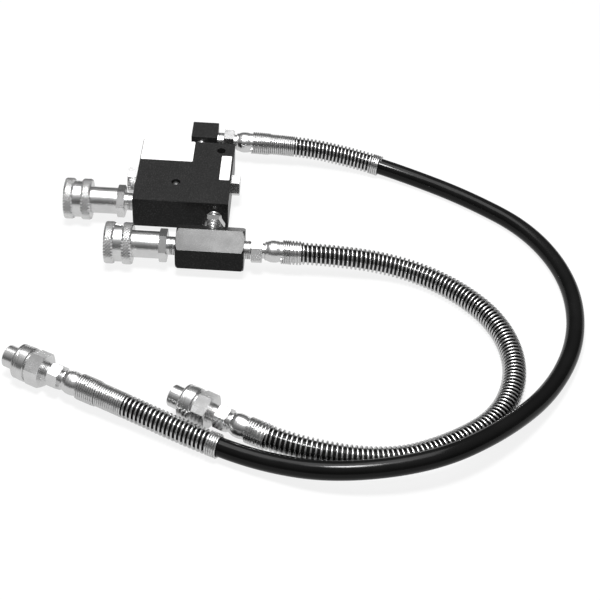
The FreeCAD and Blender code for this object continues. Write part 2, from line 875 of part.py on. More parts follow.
def end_plug():
    """Hex plug that closes the right end of the cartridge bore, with its seal."""
    shank = d.plug_bore / 2 - d.thread_gap
    corner = corner_radius(d.plug_hex)
    seal_start = -d.plug_shank + 1.5
    body = turned(
        "end_plug",
        [
            (-d.plug_shank, 0),
            (-d.plug_shank, shank),
            (seal_start, shank),
            (seal_start, shank - d.seal_depth),
            (seal_start + d.seal_width, shank - d.seal_depth),
            (seal_start + d.seal_width, shank),
            (0, shank),
            (0, corner),
            (d.plug_head - d.hex_chamfer / 2, corner),
            (d.plug_head, corner - d.hex_chamfer),
            (d.plug_head, 0),
        ],
    )
    mill_hexagon(body, "plug_flats", d.plug_hex, sized(12), 0, d.plug_head)
    place(body, RIGHT_FACE, BORE_Y, AXIS_Z)
    keep("end_plug", body)
    seal = ring(
        "end_plug_seal",
        shank - d.seal_depth + d.seat_gap / 2,
        d.plug_bore / 2 - d.seat_gap / 4,
        seal_start + d.seat_gap,
        d.seal_width - 2 * d.seat_gap,
    )
    place(seal, RIGHT_FACE, BORE_Y, AXIS_Z)
    keep("end_plug_seal", seal)


def close_nipple(name, gap, far_engaged, x, y, turn):
    """Plain threaded pipe between two ports; it starts inside the first one."""
    radius = d.line_thread / 2
    end = gap + far_engaged
    body = turned(
        name,
        [
            (-d.line_engaged, d.line_bore / 2),
            (-d.line_engaged, radius - 0.8),
            (-d.line_engaged + 1, radius),
            (end - 1, radius),
            (end, radius - 0.8),
            (end, d.line_bore / 2),
        ],
    )
    place(body, x, y, AXIS_Z, turn)
    keep(name, body)


def pilot_nipple():
    """Hex nipple from the pilot port to the tee bar."""
    radius = d.pilot_thread / 2
    corner = corner_radius(d.pilot_nipple_hex)
    hex_start = d.pilot_nipple_back
    hex_end = hex_start + d.pilot_nipple_hex_length
    end = NIPPLE_REACH + d.pilot_engaged
    body = turned(
        "pilot_nipple",
        [
            (-d.pilot_engaged, d.pilot_nipple_bore / 2),
            (-d.pilot_engaged, radius - 0.8),
            (-d.pilot_engaged + 1, radius),
            (hex_start, radius),
            (hex_start, corner - d.hex_chamfer),
            (hex_start + d.hex_chamfer / 2, corner),
            (hex_end - d.hex_chamfer / 2, corner),
            (hex_end, corner - d.hex_chamfer),
            (hex_end, radius),
            (end - 1, radius),
            (end, radius - 0.8),
            (end, d.pilot_nipple_bore / 2),
        ],
    )
    mill_hexagon(
        body, "nipple_flats", d.pilot_nipple_hex, sized(0), hex_start, d.pilot_nipple_hex_length
    )
    place(body, PILOT_X, FRONT_FACE, AXIS_Z, -90)
    keep("pilot_nipple", body)


def tee_bar():
    """Hexagon bar with a through line and a side port towards the block."""
    corner = corner_radius(d.tee_hex)
    body = turned(
        "tee_bar",
        [
            (0, 0),
            (0, corner - d.tee_chamfer),
            (d.tee_chamfer, corner),
            (d.tee_length - d.tee_chamfer, corner),
            (d.tee_length, corner - d.tee_chamfer),
            (d.tee_length, 0),
        ],
    )
    mill_hexagon(body, "tee_flats", d.tee_hex, sized(90), 0, d.tee_length)
    drill(body, "tee_line", d.tee_bore, d.tee_length, 0, 0, 0, "+X")
    drill(body, "tee_port_left", PORT_BORE, PORT_DEPTH, 0, 0, 0, "+X")
    drill(body, "tee_port_right", PORT_BORE, PORT_DEPTH, d.tee_length, 0, 0, "-X")
    side_x = d.pilot_port_x - d.tee_left_x
    drill(body, "tee_side_port", PILOT_BORE, PILOT_DEPTH, side_x, d.tee_hex / 2, 0, "-Y")
    drill(body, "tee_side_line", d.pilot_drill, d.tee_hex / 2, side_x, d.tee_hex / 2, 0, "-Y")
    place(body, TEE_LEFT, TEE_Y, AXIS_Z)
    keep("tee_bar", body)


def elbow_block():
    """Small square block that turns the line from the back port to the right."""
    body, pad = box_body("elbow_block", d.elbow_size, d.elbow_size, d.elbow_size)
    soften_edges(body, pad, "elbow_edges", d.block_edge)
    half = d.elbow_size / 2
    line_x = -d.elbow_offset
    line_end = half + d.line_bore / 2 + 1
    front_depth = d.elbow_front_engaged + 0.5
    side_depth = d.elbow_side_engaged + 0.3
    drill(body, "elbow_front_line", d.line_bore, line_end, line_x, -half, 0, "+Y")
    drill(body, "elbow_side_line", d.elbow_side_bore, half - line_x, half, 0, 0, "-X")
    drill(body, "elbow_front_port", PORT_BORE, front_depth, line_x, -half, 0, "+Y")
    drill(body, "elbow_side_port", PORT_BORE, side_depth, half, 0, 0, "-X")
    place(body, ELBOW_X, ELBOW_Y, AXIS_Z)
    keep("elbow_block", body)


# Female coupler, measured from its hex end face away from the valve.
SHOULDER = d.coupler_hex_length + d.coupler_body_length
NOSE_END = SHOULDER + d.coupler_nose
SOCKET_SEAT = NOSE_END - d.socket_depth
CHAMBER_END = SOCKET_SEAT - d.socket_land
CHAMBER_START = CHAMBER_END - d.socket_chamber_length
CONE_A = (d.poppet_a_head - d.socket_seat_bore) * d.poppet_a_cone / (d.poppet_a_head - d.poppet_a_tip)
POPPET_A_HEAD_END = CHAMBER_END - CONE_A - d.seat_gap
POPPET_A_FACE = POPPET_A_HEAD_END - d.poppet_a_head_length
RING_START = SHOULDER + d.ring_from_shoulder


def female_coupler(tag, x, y):
    """Screw coupler half with a free-spinning knurled sleeve and a sprung poppet."""
    corner = corner_radius(d.coupler_hex)
    body_radius = d.coupler_body / 2
    port = PORT_BORE / 2
    seal_start = NOSE_END - d.socket_seal_back - d.seal_width
    seal_floor = d.socket_bore / 2 + d.seal_depth
    body = turned(
        "socket_%s" % tag,
        [
            (0, port),
            (0, corner - d.hex_chamfer),
            (d.hex_chamfer / 2, corner),
            (d.coupler_hex_length - d.hex_chamfer / 2, corner),
            (d.coupler_hex_length, corner - d.hex_chamfer),
            (d.coupler_hex_length, body_radius),
            (RING_START - d.seat_gap, body_radius),
            (RING_START - d.seat_gap, body_radius - d.ring_wire / 2),
            (RING_START + d.ring_wire + d.seat_gap, body_radius - d.ring_wire / 2),
            (RING_START + d.ring_wire + d.seat_gap, body_radius),
            (NOSE_END, body_radius),
            (NOSE_END, d.socket_bore / 2),
            (seal_start + d.seal_width, d.socket_bore / 2),
            (seal_start + d.seal_width, seal_floor),
            (seal_start, seal_floor),
            (seal_start, d.socket_bore / 2),
            (SOCKET_SEAT, d.socket_bore / 2),
            (SOCKET_SEAT, d.socket_seat_bore / 2),
            (CHAMBER_END, d.socket_seat_bore / 2),
            (CHAMBER_END, d.socket_chamber / 2),
            (CHAMBER_START, d.socket_chamber / 2),
            (CHAMBER_START, d.line_bore / 2),
            (d.line_engaged + d.seat_gap, d.line_bore / 2),
            (d.line_engaged + d.seat_gap, port),
        ],
    )
    mill_hexagon(
        body, "socket_%s_flats" % tag, d.coupler_hex, d.coupler_hex_roll, 0, d.coupler_hex_length
    )
    place(body, x, y, AXIS_Z, 180)
    keep("socket_%s" % tag, body)

    ring_inner = body_radius - d.ring_wire / 2 + d.seat_gap / 2
    snap = ring(
        "snap_ring_%s" % tag, ring_inner, ring_inner + d.ring_wire - d.seat_gap, RING_START, d.ring_wire
    )
    place(snap, x, y, AXIS_Z, 180)
    keep("snap_ring_%s" % tag, snap)

    outer = d.sleeve_diameter / 2
    bore = body_radius + d.running_gap
    ring_groove = body_radius + d.ring_wire / 2 + d.seat_gap
    thread = d.sleeve_thread / 2
    sleeve_start = SHOULDER
    band_end = sleeve_start + d.sleeve_band_back
    groove_end = band_end + d.sleeve_groove
    sleeve_end = sleeve_start + d.sleeve_length
    waist = d.sleeve_groove_diameter / 2
    step = outer - waist
    sleeve = turned(
        "sleeve_%s" % tag,
        [
            (sleeve_start, bore),
            (sleeve_start, outer - 0.8),
            (sleeve_start + 0.8, outer),
            (band_end - step, outer),
            (band_end, waist),
            (groove_end, waist),
            (groove_end + step, outer),
            (sleeve_end - 0.8, outer),
            (sleeve_end, outer - 0.8),
            (sleeve_end, thread),
            (NOSE_END + d.seat_gap, thread),
            (NOSE_END + d.seat_gap, bore),
            (RING_START + d.ring_wire + d.seat_gap, bore),
            (RING_START + d.ring_wire + d.seat_gap, ring_groove),
            (RING_START - d.seat_gap, ring_groove),
            (RING_START - d.seat_gap, bore),
        ],
    )
    place(sleeve, x, y, AXIS_Z, 180)
    keep("sleeve_%s" % tag, sleeve)

    stem = d.poppet_a_stem / 2
    tip_end = POPPET_A_HEAD_END + d.poppet_a_cone
    poppet = turned(
        "socket_poppet_%s" % tag,
        [
            (POPPET_A_FACE - d.poppet_a_tail_length, 0),
            (POPPET_A_FACE - d.poppet_a_tail_length, stem),
            (POPPET_A_FACE, stem),
            (POPPET_A_FACE, d.poppet_a_head / 2),
            (POPPET_A_HEAD_END, d.poppet_a_head / 2),
            (tip_end, d.poppet_a_tip / 2),
            (tip_end, stem),
            (tip_end + d.poppet_a_stem_length - 1, stem),
            (tip_end + d.poppet_a_stem_length, stem - 1),
            (tip_end + d.poppet_a_stem_length, 0),
        ],
    )
    place(poppet, x, y, AXIS_Z, 180)
    keep("socket_poppet_%s" % tag, poppet)

    start = CHAMBER_START + d.seat_gap
    spring = coil(
        "socket_spring_%s" % tag, start, POPPET_A_FACE - d.seat_gap,
        d.coupler_spring_diameter, d.coupler_spring_wire, d.coupler_spring_turns,
    )
    place(spring, x, y, AXIS_Z, 180)
    keep("socket_spring_%s" % tag, spring)

    seal = ring(
        "socket_seal_%s" % tag,
        d.socket_bore / 2 - d.seat_gap / 2,
        seal_floor - d.seat_gap / 2,
        seal_start + d.seat_gap,
        d.seal_width - 2 * d.seat_gap,
    )
    place(seal, x, y, AXIS_Z, 180)
    keep("socket_seal_%s" % tag, seal)


# Male coupler, measured from its hex end face away from the hose.
FAR_COLLAR = d.far_hex_length + d.far_groove
FAR_THREAD = FAR_COLLAR + d.far_collar_band
FAR_NOSE = FAR_THREAD + d.far_collar_thread
FAR_END = FAR_NOSE + d.far_nose_length
FAR_CHAMBER_START = d.line_engaged + d.port_extra_depth
FAR_SEAT = FAR_CHAMBER_START + d.far_chamber_length
CONE_B = (d.poppet_b_head - d.far_nose_bore) * d.poppet_b_cone / (d.poppet_b_head - d.poppet_b_tip)
POPPET_B_HEAD_END = FAR_SEAT - CONE_B - d.seat_gap
POPPET_B_FACE = POPPET_B_HEAD_END - d.poppet_b_head_length


def male_coupler(tag, x, y, turn):
    """Coupler half at the hose's far end: hex, ridged collar, smooth nose and a sprung poppet."""
    corner = corner_radius(d.far_hex)
    collar = d.far_collar / 2
    thread = d.far_collar_thread_diameter / 2
    nose = d.far_nose / 2
    body = turned(
        "plug_%s" % tag,
        [
            (0, PORT_BORE / 2),
            (0, corner - 2 * d.hex_chamfer),
            (d.hex_chamfer, corner),
            (d.far_hex_length - d.hex_chamfer, corner),
            (d.far_hex_length, corner - 2 * d.hex_chamfer),
            (d.far_hex_length, d.far_groove_diameter / 2),
            (FAR_COLLAR, d.far_groove_diameter / 2),
            (FAR_COLLAR, collar - 0.8),
            (FAR_COLLAR + 0.8, collar),
            (FAR_THREAD - 0.5, collar),
            (FAR_THREAD, thread),
            (FAR_NOSE - 2.5, thread),
            (FAR_NOSE, thread - 2.5),
            (FAR_NOSE, nose),
            (FAR_END - 0.8, nose),
            (FAR_END, nose - 0.8),
            (FAR_END, d.far_nose_bore / 2),
            (FAR_SEAT, d.far_nose_bore / 2),
            (FAR_SEAT, d.far_chamber / 2),
            (FAR_CHAMBER_START, d.far_chamber / 2),
            (FAR_CHAMBER_START, d.line_bore / 2),
            (d.line_engaged + d.seat_gap, d.line_bore / 2),
            (d.line_engaged + d.seat_gap, PORT_BORE / 2),
        ],
    )
    mill_hexagon(body, "plug_%s_flats" % tag, d.far_hex, d.far_hex_roll + 90, 0, d.far_hex_length)
    away = turn + 180
    place(body, x, y, FAR_Z, away)
    keep("plug_%s" % tag, body)

    stem = d.poppet_b_stem / 2
    poppet = turned(
        "plug_poppet_%s" % tag,
        [
            (POPPET_B_FACE - d.poppet_b_tail_length, 0),
            (POPPET_B_FACE - d.poppet_b_tail_length, stem),
            (POPPET_B_FACE, stem),
            (POPPET_B_FACE, d.poppet_b_head / 2),
            (POPPET_B_HEAD_END, d.poppet_b_head / 2),
            (POPPET_B_HEAD_END + d.poppet_b_cone, d.poppet_b_tip / 2),
            (POPPET_B_HEAD_END + d.poppet_b_cone, stem),
            (FAR_END - 1, stem),
            (FAR_END, stem - 1),
            (FAR_END, 0),
        ],
    )
    place(poppet, x, y, FAR_Z, away)
    keep("plug_poppet_%s" % tag, poppet)

    start = FAR_CHAMBER_START + d.seat_gap
    spring = coil(
        "plug_spring_%s" % tag, start, POPPET_B_FACE - d.seat_gap,
        d.coupler_spring_diameter, d.coupler_spring_wire, d.coupler_spring_turns,
    )
    place(spring, x, y, FAR_Z, away)
    keep("plug_spring_%s" % tag, spring)


# Hose end, measured from the face of the port that it screws into, towards the hose.
HEX_END = d.hose_thread_gap + d.hose_hex_length
SHELL_START = HEX_END + d.shell_gap
HOSE_START = HEX_END + d.hose_neck_length
SHELL_END = SHELL_START + d.shell_length


def hose_end(tag, across_flats, engaged, x, y, z, turn):
    """Hex fitting and the swaged shell that grips the hose."""
    corner = corner_radius(across_flats)
    thread = d.line_thread / 2
    neck = d.hose_neck / 2
    bore = d.hose_stem_bore / 2
    fitting = turned(
        "fitting_%s" % tag,
        [
            (-engaged, bore),
            (-engaged, thread - 0.8),
            (-engaged + 1, thread),
            (d.hose_thread_gap, thread),
            (d.hose_thread_gap, corner - d.hex_chamfer),
            (d.hose_thread_gap + d.hex_chamfer / 2, corner),
            (HEX_END - d.hex_chamfer / 2, corner),
            (HEX_END, corner - d.hex_chamfer),
            (HEX_END, neck),
            (HOSE_START, neck),
            (HOSE_START, bore),
        ],
    )
    mill_hexagon(
        fitting, "fitting_%s_flats" % tag, across_flats, d.hose_hex_roll,
        d.hose_thread_gap, d.hose_hex_length,
    )
    place(fitting, x, y, z, turn)
    keep("fitting_%s" % tag, fitting)

    collar_end = SHELL_START + d.shell_collar_length
    bulb = d.shell_bulb / 2
    tail = d.shell_tail / 2
    grip = d.hose_diameter / 2 + d.shell_wall_gap
    shell = turned(
        "shell_%s" % tag,
        [
            (SHELL_START, neck + d.thread_gap),
            (SHELL_START, d.shell_collar / 2 - 0.6),
            (SHELL_START + 0.6, d.shell_collar / 2),
            (collar_end, d.shell_collar / 2 - 0.2),
            (collar_end + 2, bulb - 0.7),
            (collar_end + 4, bulb - 0.1),
            (collar_end + 6.5, bulb),
            (collar_end + 9, bulb - 0.15),
            (collar_end + 12, tail),
            (SHELL_END, tail),
            (SHELL_END, grip),
            (HOSE_START, grip),
            (HOSE_START, neck + d.thread_gap),
        ],
    )
    place(shell, x, y, z, turn)
    keep("shell_%s" % tag, shell)


def turned_point(x, y, z, turn, distance):
    """The point at a distance along a fitting's axis."""
    angle = math.radians(number(turn))
    return Vector(
        number(x) + distance * math.cos(angle), number(y) + distance * math.sin(angle), number(z)
    )


def bend_radii(route):
    """Radius of the arc at each inner corner of a route."""
    radii = []
    for before, corner, after in zip(route, route[1:], route[2:]):
        into, out = corner - before, after - corner
        half_turn = into.getAngle(out) / 2
        radii.append(BEND_SHARE * min(into.Length, out.Length) / math.tan(half_turn))
    return radii


def route_line(route, radii):
    """Straight runs joined by tangent arcs, as one wire."""
    edges = []
    start = route[0]
    for before, corner, after, radius in zip(route, route[1:], route[2:], radii):
        into = (corner - before).normalize()
        out = (after - corner).normalize()
        reach = radius * math.tan(into.getAngle(out) / 2)
        first, middle, last = arc_at(corner, into, out, reach)
        edges.append(Part.LineSegment(start, first).toShape())
        edges.append(Part.Arc(first, middle, last).toShape())
        start = last
    edges.append(Part.LineSegment(start, route[-1]).toShape())
    return Part.Wire(edges)


def half_run(route, run):
    """The middle of a run of the route."""
    return (route[run] + route[run + 1]) * 0.5


def soft_piece(name, shape):
    """A hose or guard, whose solid follows its route."""
    feature = doc.addObject("Part::Feature", name)
    feature.Shape = shape
    keep(name, feature)


def station(line, distance):
    """Placement at a distance along a line, with its Z axis along the line."""
    for edge in line.Edges:
        if distance <= edge.Length + TOUCH:
            break
        distance -= edge.Length
    here = edge.getParameterByLength(min(distance, edge.Length))
    heading = edge.tangentAt(here)
    side = heading.cross(Vector(0, 0, 1)).normalize()
    return Placement(edge.valueAt(here), Rotation(side, heading.cross(side), heading, "ZXY"))


def ridges(length, tight, pitch, collars):
    """Rows of distance and radius along a guard: a low ridge for each turn of its wire.

    tight holds the lengths of closed turns at both ends, collars says which ends are wide.
    """
    wire, skin, reach = d.guard_wire.value, d.guard_skin.value, d.guard_collar_length.value
    rows = []
    here = 0.0
    while here + wire < length - wire / 2:
        closed = here < tight[0] or here > length - tight[1]
        step = wire if closed else pitch
        wide = collars[0] and here < reach or collars[1] and here + step > length - reach
        crest = (d.guard_collar if wide else d.guard_diameter).value / 2
        root = (d.guard_collar_bore if wide else d.guard_bore).value / 2 + skin
        if closed:
            root = crest - wire * CLOSED_DEPTH
        rows += [(here, root), (here + wire / 2, crest)]
        if not closed:
            rows.append((here + wire, root))
        here += step
    rows.append((length, root))
    return rows


def ridged_rod(line, rows):
    """A round solid along a line with the radii of these rows, checked against its volume."""
    sections = []
    expected = 0.0
    for distance, radius in rows:
        section = Part.Wire(Part.makeCircle(radius))
        section.Placement = station(line, distance)
        sections.append(section)
    for (start, first), (end, last) in zip(rows, rows[1:]):
        expected += math.pi * (end - start) * (first ** 2 + first * last + last ** 2) / 3
    solid = Part.makeLoft(sections, True, True)
    if abs(solid.Volume - expected) > 0.01 * expected:
        raise RuntimeError("ridged rod volume %.0f, expected %.0f" % (solid.Volume, expected))
    return solid


def guard_solid(line, tight, pitch, collars):
    """A spring guard: a thin sleeve round the hose with a ridge for each turn of its wire.

    Its ends are wider where they grip a shell.
    """
    outside = ridged_rod(line, ridges(line.Length, tight, pitch, collars))
    inside = rod(line, d.guard_bore.value / 2)
    length = d.guard_collar_length.value
    for at_this_end, distance, way in ((collars[0], 0, 1), (collars[1], line.Length, -1)):
        if at_this_end:
            place_there = station(line, distance)
            heading = place_there.Rotation.multVec(Vector(0, 0, way))
            grip = Part.makeCylinder(d.guard_collar_bore.value / 2, length, place_there.Base, heading)
            inside = inside.fuse(grip)
    return outside.cut(inside)


def outer_hose():
    """Hose from the elbow block to its coupler, with a spring guard at each end."""
    near = (ELBOW_RIGHT, ELBOW_Y, AXIS_Z, sized(0))
    far = (d.outer_far_x, d.outer_far_y, FAR_Z, d.outer_far_turn)
    hose_end("outer_near", d.near_hex, d.elbow_side_engaged, *near)
    hose_end("outer_far", d.hose_far_hex, d.hose_engaged, *far)
    male_coupler("outer", far[0], far[1], far[3])
    start, stop = HOSE_START.value, HOSE_START.value
    route = [turned_point(*near, start), turned_point(*near, start + OUTER_FIRST_RUN)]
    route += [Vector(*corner) for corner in OUTER_CORNERS]
    route += [turned_point(*far, stop + OUTER_LAST_RUN), turned_point(*far, stop)]
    radii = bend_radii(route)
    print("outer hose radii", [round(radius) for radius in radii])
    line = route_line(route, radii)
    print("outer hose length", round(line.Length))
    soft_piece("outer_hose", rod(line, d.hose_diameter.value / 2))
    first, last = OUTER_NEAR_GUARD_RUN, OUTER_FAR_GUARD_RUN
    near_route = [turned_point(*near, d.guard_start.value)] + route[1:first + 1]
    near_route.append(half_run(route, first))
    near_line = route_line(near_route, radii[:first])
    shell_coils, free_coils = d.outer_guard_shell_coils.value, d.outer_guard_free_coils.value
    pitch = d.outer_guard_pitch.value
    near_guard = guard_solid(near_line, (shell_coils, free_coils), pitch, (True, False))
    soft_piece("outer_near_guard", near_guard)
    far_route = [half_run(route, last)] + route[last + 1:-1]
    far_route.append(turned_point(*far, d.guard_start.value))
    far_line = route_line(far_route, radii[last:])
    far_guard = guard_solid(far_line, (free_coils, shell_coils), pitch, (False, True))
    soft_piece("outer_far_guard", far_guard)


def inner_hose():
    """Hose from the tee bar to its coupler, inside one spring guard along its whole length."""
    near = (TEE_RIGHT, TEE_Y, AXIS_Z, sized(0))
    far = (d.inner_far_x, d.inner_far_y, FAR_Z, d.inner_far_turn)
    hose_end("inner_near", d.near_hex, d.hose_engaged, *near)
    hose_end("inner_far", d.hose_far_hex, d.hose_engaged, *far)
    male_coupler("inner", far[0], far[1], far[3])
    start = HOSE_START.value
    route = [turned_point(*near, start), turned_point(*near, start + INNER_FIRST_RUN)]
    route += [Vector(*corner) for corner in INNER_CORNERS]
    route += [turned_point(*far, start + INNER_LAST_RUN), turned_point(*far, start)]
    radii = bend_radii(route)
    print("inner hose radii", [round(radius) for radius in radii])
    line = route_line(route, radii)
    print("inner hose length", round(line.Length))
    soft_piece("inner_hose", rod(line, d.hose_diameter.value / 2))
    guard_route = [turned_point(*near, d.guard_start.value)] + route[1:-1]
    guard_route.append(turned_point(*far, d.guard_start.value))
    tight = (d.inner_guard_shell_coils.value, d.inner_guard_shell_coils.value)
    guard_line = route_line(guard_route, radii)
    guard = guard_solid(guard_line, tight, d.inner_guard_pitch.value, (True, True))
    soft_piece("inner_guard", guard)


def build():
    """Make every sub-part."""
    valve_body()
    drill_plug()
    spring_cap()
    adjuster()
    spring_seat()
    load_spring()
    main_poppet()
    check_seat()
    pilot_guide()
    pilot_piston()
    end_plug()
    pilot_nipple()
    tee_bar()
    close_nipple("rear_nipple", d.rear_gap, d.elbow_front_engaged, REAR_PORT_X, BACK_FACE, 90)
    elbow_block()
    coupler_a_face = LEFT_FACE - d.coupler_gap
    coupler_b_face = TEE_LEFT - d.coupler_gap
    for name, x, y in (("coupler_nipple_a", LEFT_FACE, COUPLER_A_Y), ("coupler_nipple_b", TEE_LEFT, TEE_Y)):
        close_nipple(name, d.coupler_gap, d.line_engaged, x, y, 180)
    female_coupler("a", coupler_a_face, COUPLER_A_Y)
    female_coupler("b", coupler_b_face, TEE_Y)
    outer_hose()
    inner_hose()


def check():
    """Stop if any object failed or any sub-part isn't one sound solid."""
    doc.recompute()
    for obj in doc.Objects:
        if "Invalid" in obj.State or "Error" in obj.State:
            raise RuntimeError("%s failed: %s" % (obj.Name, obj.State))
    for name, obj in pieces.items():
        shape = obj.Shape
        if shape.isNull() or not shape.isValid() or len(shape.Solids) != 1:
            raise RuntimeError("%s: %d solids, valid %s" % (name, len(shape.Solids), shape.isValid()))
        if shape.Volume <= 0:
            raise RuntimeError("%s has volume %.1f" % (name, shape.Volume))


def write():
    """Write one STEP file for each sub-part."""
    os.makedirs("parts", exist_ok=True)
    for name, obj in pieces.items():
        obj.Shape.exportStep("parts/%s.step" % name)
    print(len(pieces), "sub-parts written")


build()
check()
write()
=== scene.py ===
"""Dresses the counterbalance valve, its couplers and its two guarded hoses, and lights them.

Every length is in metres in the part's own frame: +X to the right along the cartridge, +Y to the
back, +Z up, with the floor at z = 0 under the middle of the valve group.
"""
from __future__ import annotations

import json
import logging
import math
from dataclasses import dataclass, field
from enum import Enum
from typing import Any, Sequence

import bmesh
import bpy
import numpy as np
from mathutils import Matrix, Vector


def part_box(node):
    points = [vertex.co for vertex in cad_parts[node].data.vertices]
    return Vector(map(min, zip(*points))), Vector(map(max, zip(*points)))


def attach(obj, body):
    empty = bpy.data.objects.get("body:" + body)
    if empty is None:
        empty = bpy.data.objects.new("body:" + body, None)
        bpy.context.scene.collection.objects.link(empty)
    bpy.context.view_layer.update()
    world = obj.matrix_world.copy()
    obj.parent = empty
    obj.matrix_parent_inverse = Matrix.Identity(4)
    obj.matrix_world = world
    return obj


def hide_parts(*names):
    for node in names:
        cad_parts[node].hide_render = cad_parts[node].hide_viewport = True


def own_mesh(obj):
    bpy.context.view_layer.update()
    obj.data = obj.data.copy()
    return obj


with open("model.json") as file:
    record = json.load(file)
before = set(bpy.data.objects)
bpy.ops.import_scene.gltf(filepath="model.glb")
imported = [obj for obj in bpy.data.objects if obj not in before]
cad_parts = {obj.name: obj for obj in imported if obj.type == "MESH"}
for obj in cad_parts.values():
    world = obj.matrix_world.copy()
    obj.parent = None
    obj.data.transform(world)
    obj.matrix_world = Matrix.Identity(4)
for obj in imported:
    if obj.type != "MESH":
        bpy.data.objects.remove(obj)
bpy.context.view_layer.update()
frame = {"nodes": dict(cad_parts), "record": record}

LOG = logging.getLogger("counterbalance_valve")
FIXED_BODY = "valve"
FLOOR_GAP = 0.0002
MERGE_DISTANCE = 1e-6
LINE_HEIGHT = 0.021073
FAR_HEIGHT = 0.015588
POPPET_TRAVEL = 0.005
CARTRIDGE_TRAVEL = 0.003
LINE_THREAD_RADIUS = 0.0082
LINE_THREAD_PITCH = 0.00141

Point = tuple[float, float, float]
Colour = tuple[float, float, float, float]


# Shader maths.


class Value:
    """A shader socket that adds Math nodes when it is used in an expression."""

    def __init__(self, tree: "Shader", socket: Any) -> None:
        """Wraps one output socket.

        Args:
            tree: the shader that holds the socket.
            socket: the node output.
        """
        self.tree = tree
        self.socket = socket

    def _math(self, operation: str, first: Any, second: Any) -> "Value":
        """One Math node.

        Args:
            operation: the node's operation.
            first: its first value or link.
            second: its second value or link.

        Returns:
            The node's result.
        """
        return self.tree.node("ShaderNodeMath", {"operation": operation}, {0: first, 1: second})

    def __add__(self, other: Any) -> "Value":
        """self + other."""
        return self._math("ADD", self, other)

    def __radd__(self, other: Any) -> "Value":
        """other + self."""
        return self._math("ADD", other, self)

    def __sub__(self, other: Any) -> "Value":
        """self - other."""
        return self._math("SUBTRACT", self, other)

    def __rsub__(self, other: Any) -> "Value":
        """other - self."""
        return self._math("SUBTRACT", other, self)

    def __mul__(self, other: Any) -> "Value":
        """self * other."""
        return self._math("MULTIPLY", self, other)

    def __rmul__(self, other: Any) -> "Value":
        """other * self."""
        return self._math("MULTIPLY", other, self)


class Shader:
    """The node tree of a material or of the world, written node by node."""

    def __init__(self, name: str, world: bool = False) -> None:
        """Makes an empty material or world.

        Args:
            name: its name.
            world: whether it is a world.
        """
        self.owner = bpy.data.worlds.new(name) if world else bpy.data.materials.new(name)
        self.owner.use_nodes = True
        self.tree = self.owner.node_tree
        self.tree.nodes.clear()
        kind = "ShaderNodeOutputWorld" if world else "ShaderNodeOutputMaterial"
        self.output = self.tree.nodes.new(kind)

    def node(self, kind: str, settings: dict[str, Any], inputs: dict[Any, Any],
             out: Any = 0) -> Value:
        """Adds one node.

        Args:
            kind: the node's type.
            settings: its own settings, set before its sockets.
            inputs: values or links by socket name or number.
            out: the output wanted, by name or number.

        Returns:
            The wrapped output.
        """
        made = self.tree.nodes.new(kind)
        for key, value in settings.items():
            if key == "stops":
                self._set_stops(made.color_ramp, value)
            else:
                setattr(made, key, value)
        for key, value in inputs.items():
            if isinstance(value, Value):
                self.tree.links.new(value.socket, made.inputs[key])
            else:
                made.inputs[key].default_value = value
        return Value(self, made.outputs[out])

    @staticmethod
    def _set_stops(ramp: Any, stops: Sequence[tuple[float, Colour]]) -> None:
        """Gives a colour ramp its stops.

        Args:
            ramp: the ramp.
            stops: positions and colours, in order.
        """
        while len(ramp.elements) < len(stops):
            ramp.elements.new(0.5)
        for element, (position, colour) in zip(ramp.elements, stops):
            element.position = position
            element.color = colour

    def place(self, scale: Point = (1.0, 1.0, 1.0), turn: Point = (0.0, 0.0, 0.0)) -> Value:
        """Object coordinates, scaled and turned.

        Args:
            scale: factor along each axis.
            turn: rotation in radians.

        Returns:
            The mapped coordinates.
        """
        here = self.node("ShaderNodeTexCoord", {}, {}, "Object")
        return self.node(
            "ShaderNodeMapping", {}, {"Vector": here, "Scale": scale, "Rotation": turn})

    def noise(self, where: Value, scale: float, detail: float = 3.0, rough: float = 0.5) -> Value:
        """Smooth noise from 0 to 1.

        Args:
            where: coordinates.
            scale: how many blotches to a metre.
            detail: octaves.
            rough: weight of the finer octaves.

        Returns:
            The noise value.
        """
        return self.node(
            "ShaderNodeTexNoise",
            {},
            {"Vector": where, "Scale": scale, "Detail": detail, "Roughness": rough},
            "Fac",
        )

    def ramp(self, factor: Value, low: float, high: float) -> Value:
        """The factor stretched so that low gives 0 and high gives 1, held inside those.

        Args:
            factor: the value to stretch.
            low: what becomes 0.
            high: what becomes 1.

        Returns:
            The stretched value.
        """
        return self.node(
            "ShaderNodeMapRange",
            {"clamp": True},
            {"Value": factor, "From Min": low, "From Max": high},
        )

    def mix(self, factor: Any, first: Any, second: Any) -> Value:
        """A colour between two colours.

        Args:
            factor: 0 gives the first, 1 the second.
            first: a colour or link.
            second: a colour or link.

        Returns:
            The mixed colour.
        """
        return self.node(
            "ShaderNodeMix", {"data_type": "RGBA"}, {0: factor, 6: first, 7: second}, 2)

    def bump(self, height: Value, strength: float, distance: float) -> Value:
        """A normal bent by a height.

        Args:
            height: the height, from 0 to 1.
            strength: how much of it shows.
            distance: what a height of 1 means, in metres.

        Returns:
            The normal.
        """
        return self.node(
            "ShaderNodeBump", {}, {"Height": height, "Strength": strength, "Distance": distance}
        )

    def surface(self, **sockets: Any) -> bpy.types.Material:
        """Ends the tree in a Principled shader.

        Args:
            **sockets: values or links by socket name, with _ for a space.

        Returns:
            The finished material.
        """
        inputs = {name.replace("_", " "): value for name, value in sockets.items()}
        return self.end(self.node("ShaderNodeBsdfPrincipled", {}, inputs, "BSDF"))

    def end(self, shader: Value) -> Any:
        """Ends the tree in a shader.

        Args:
            shader: the last shader's output.

        Returns:
            The finished material or world.
        """
        self.tree.links.new(shader.socket, self.output.inputs["Surface"])
        return self.owner


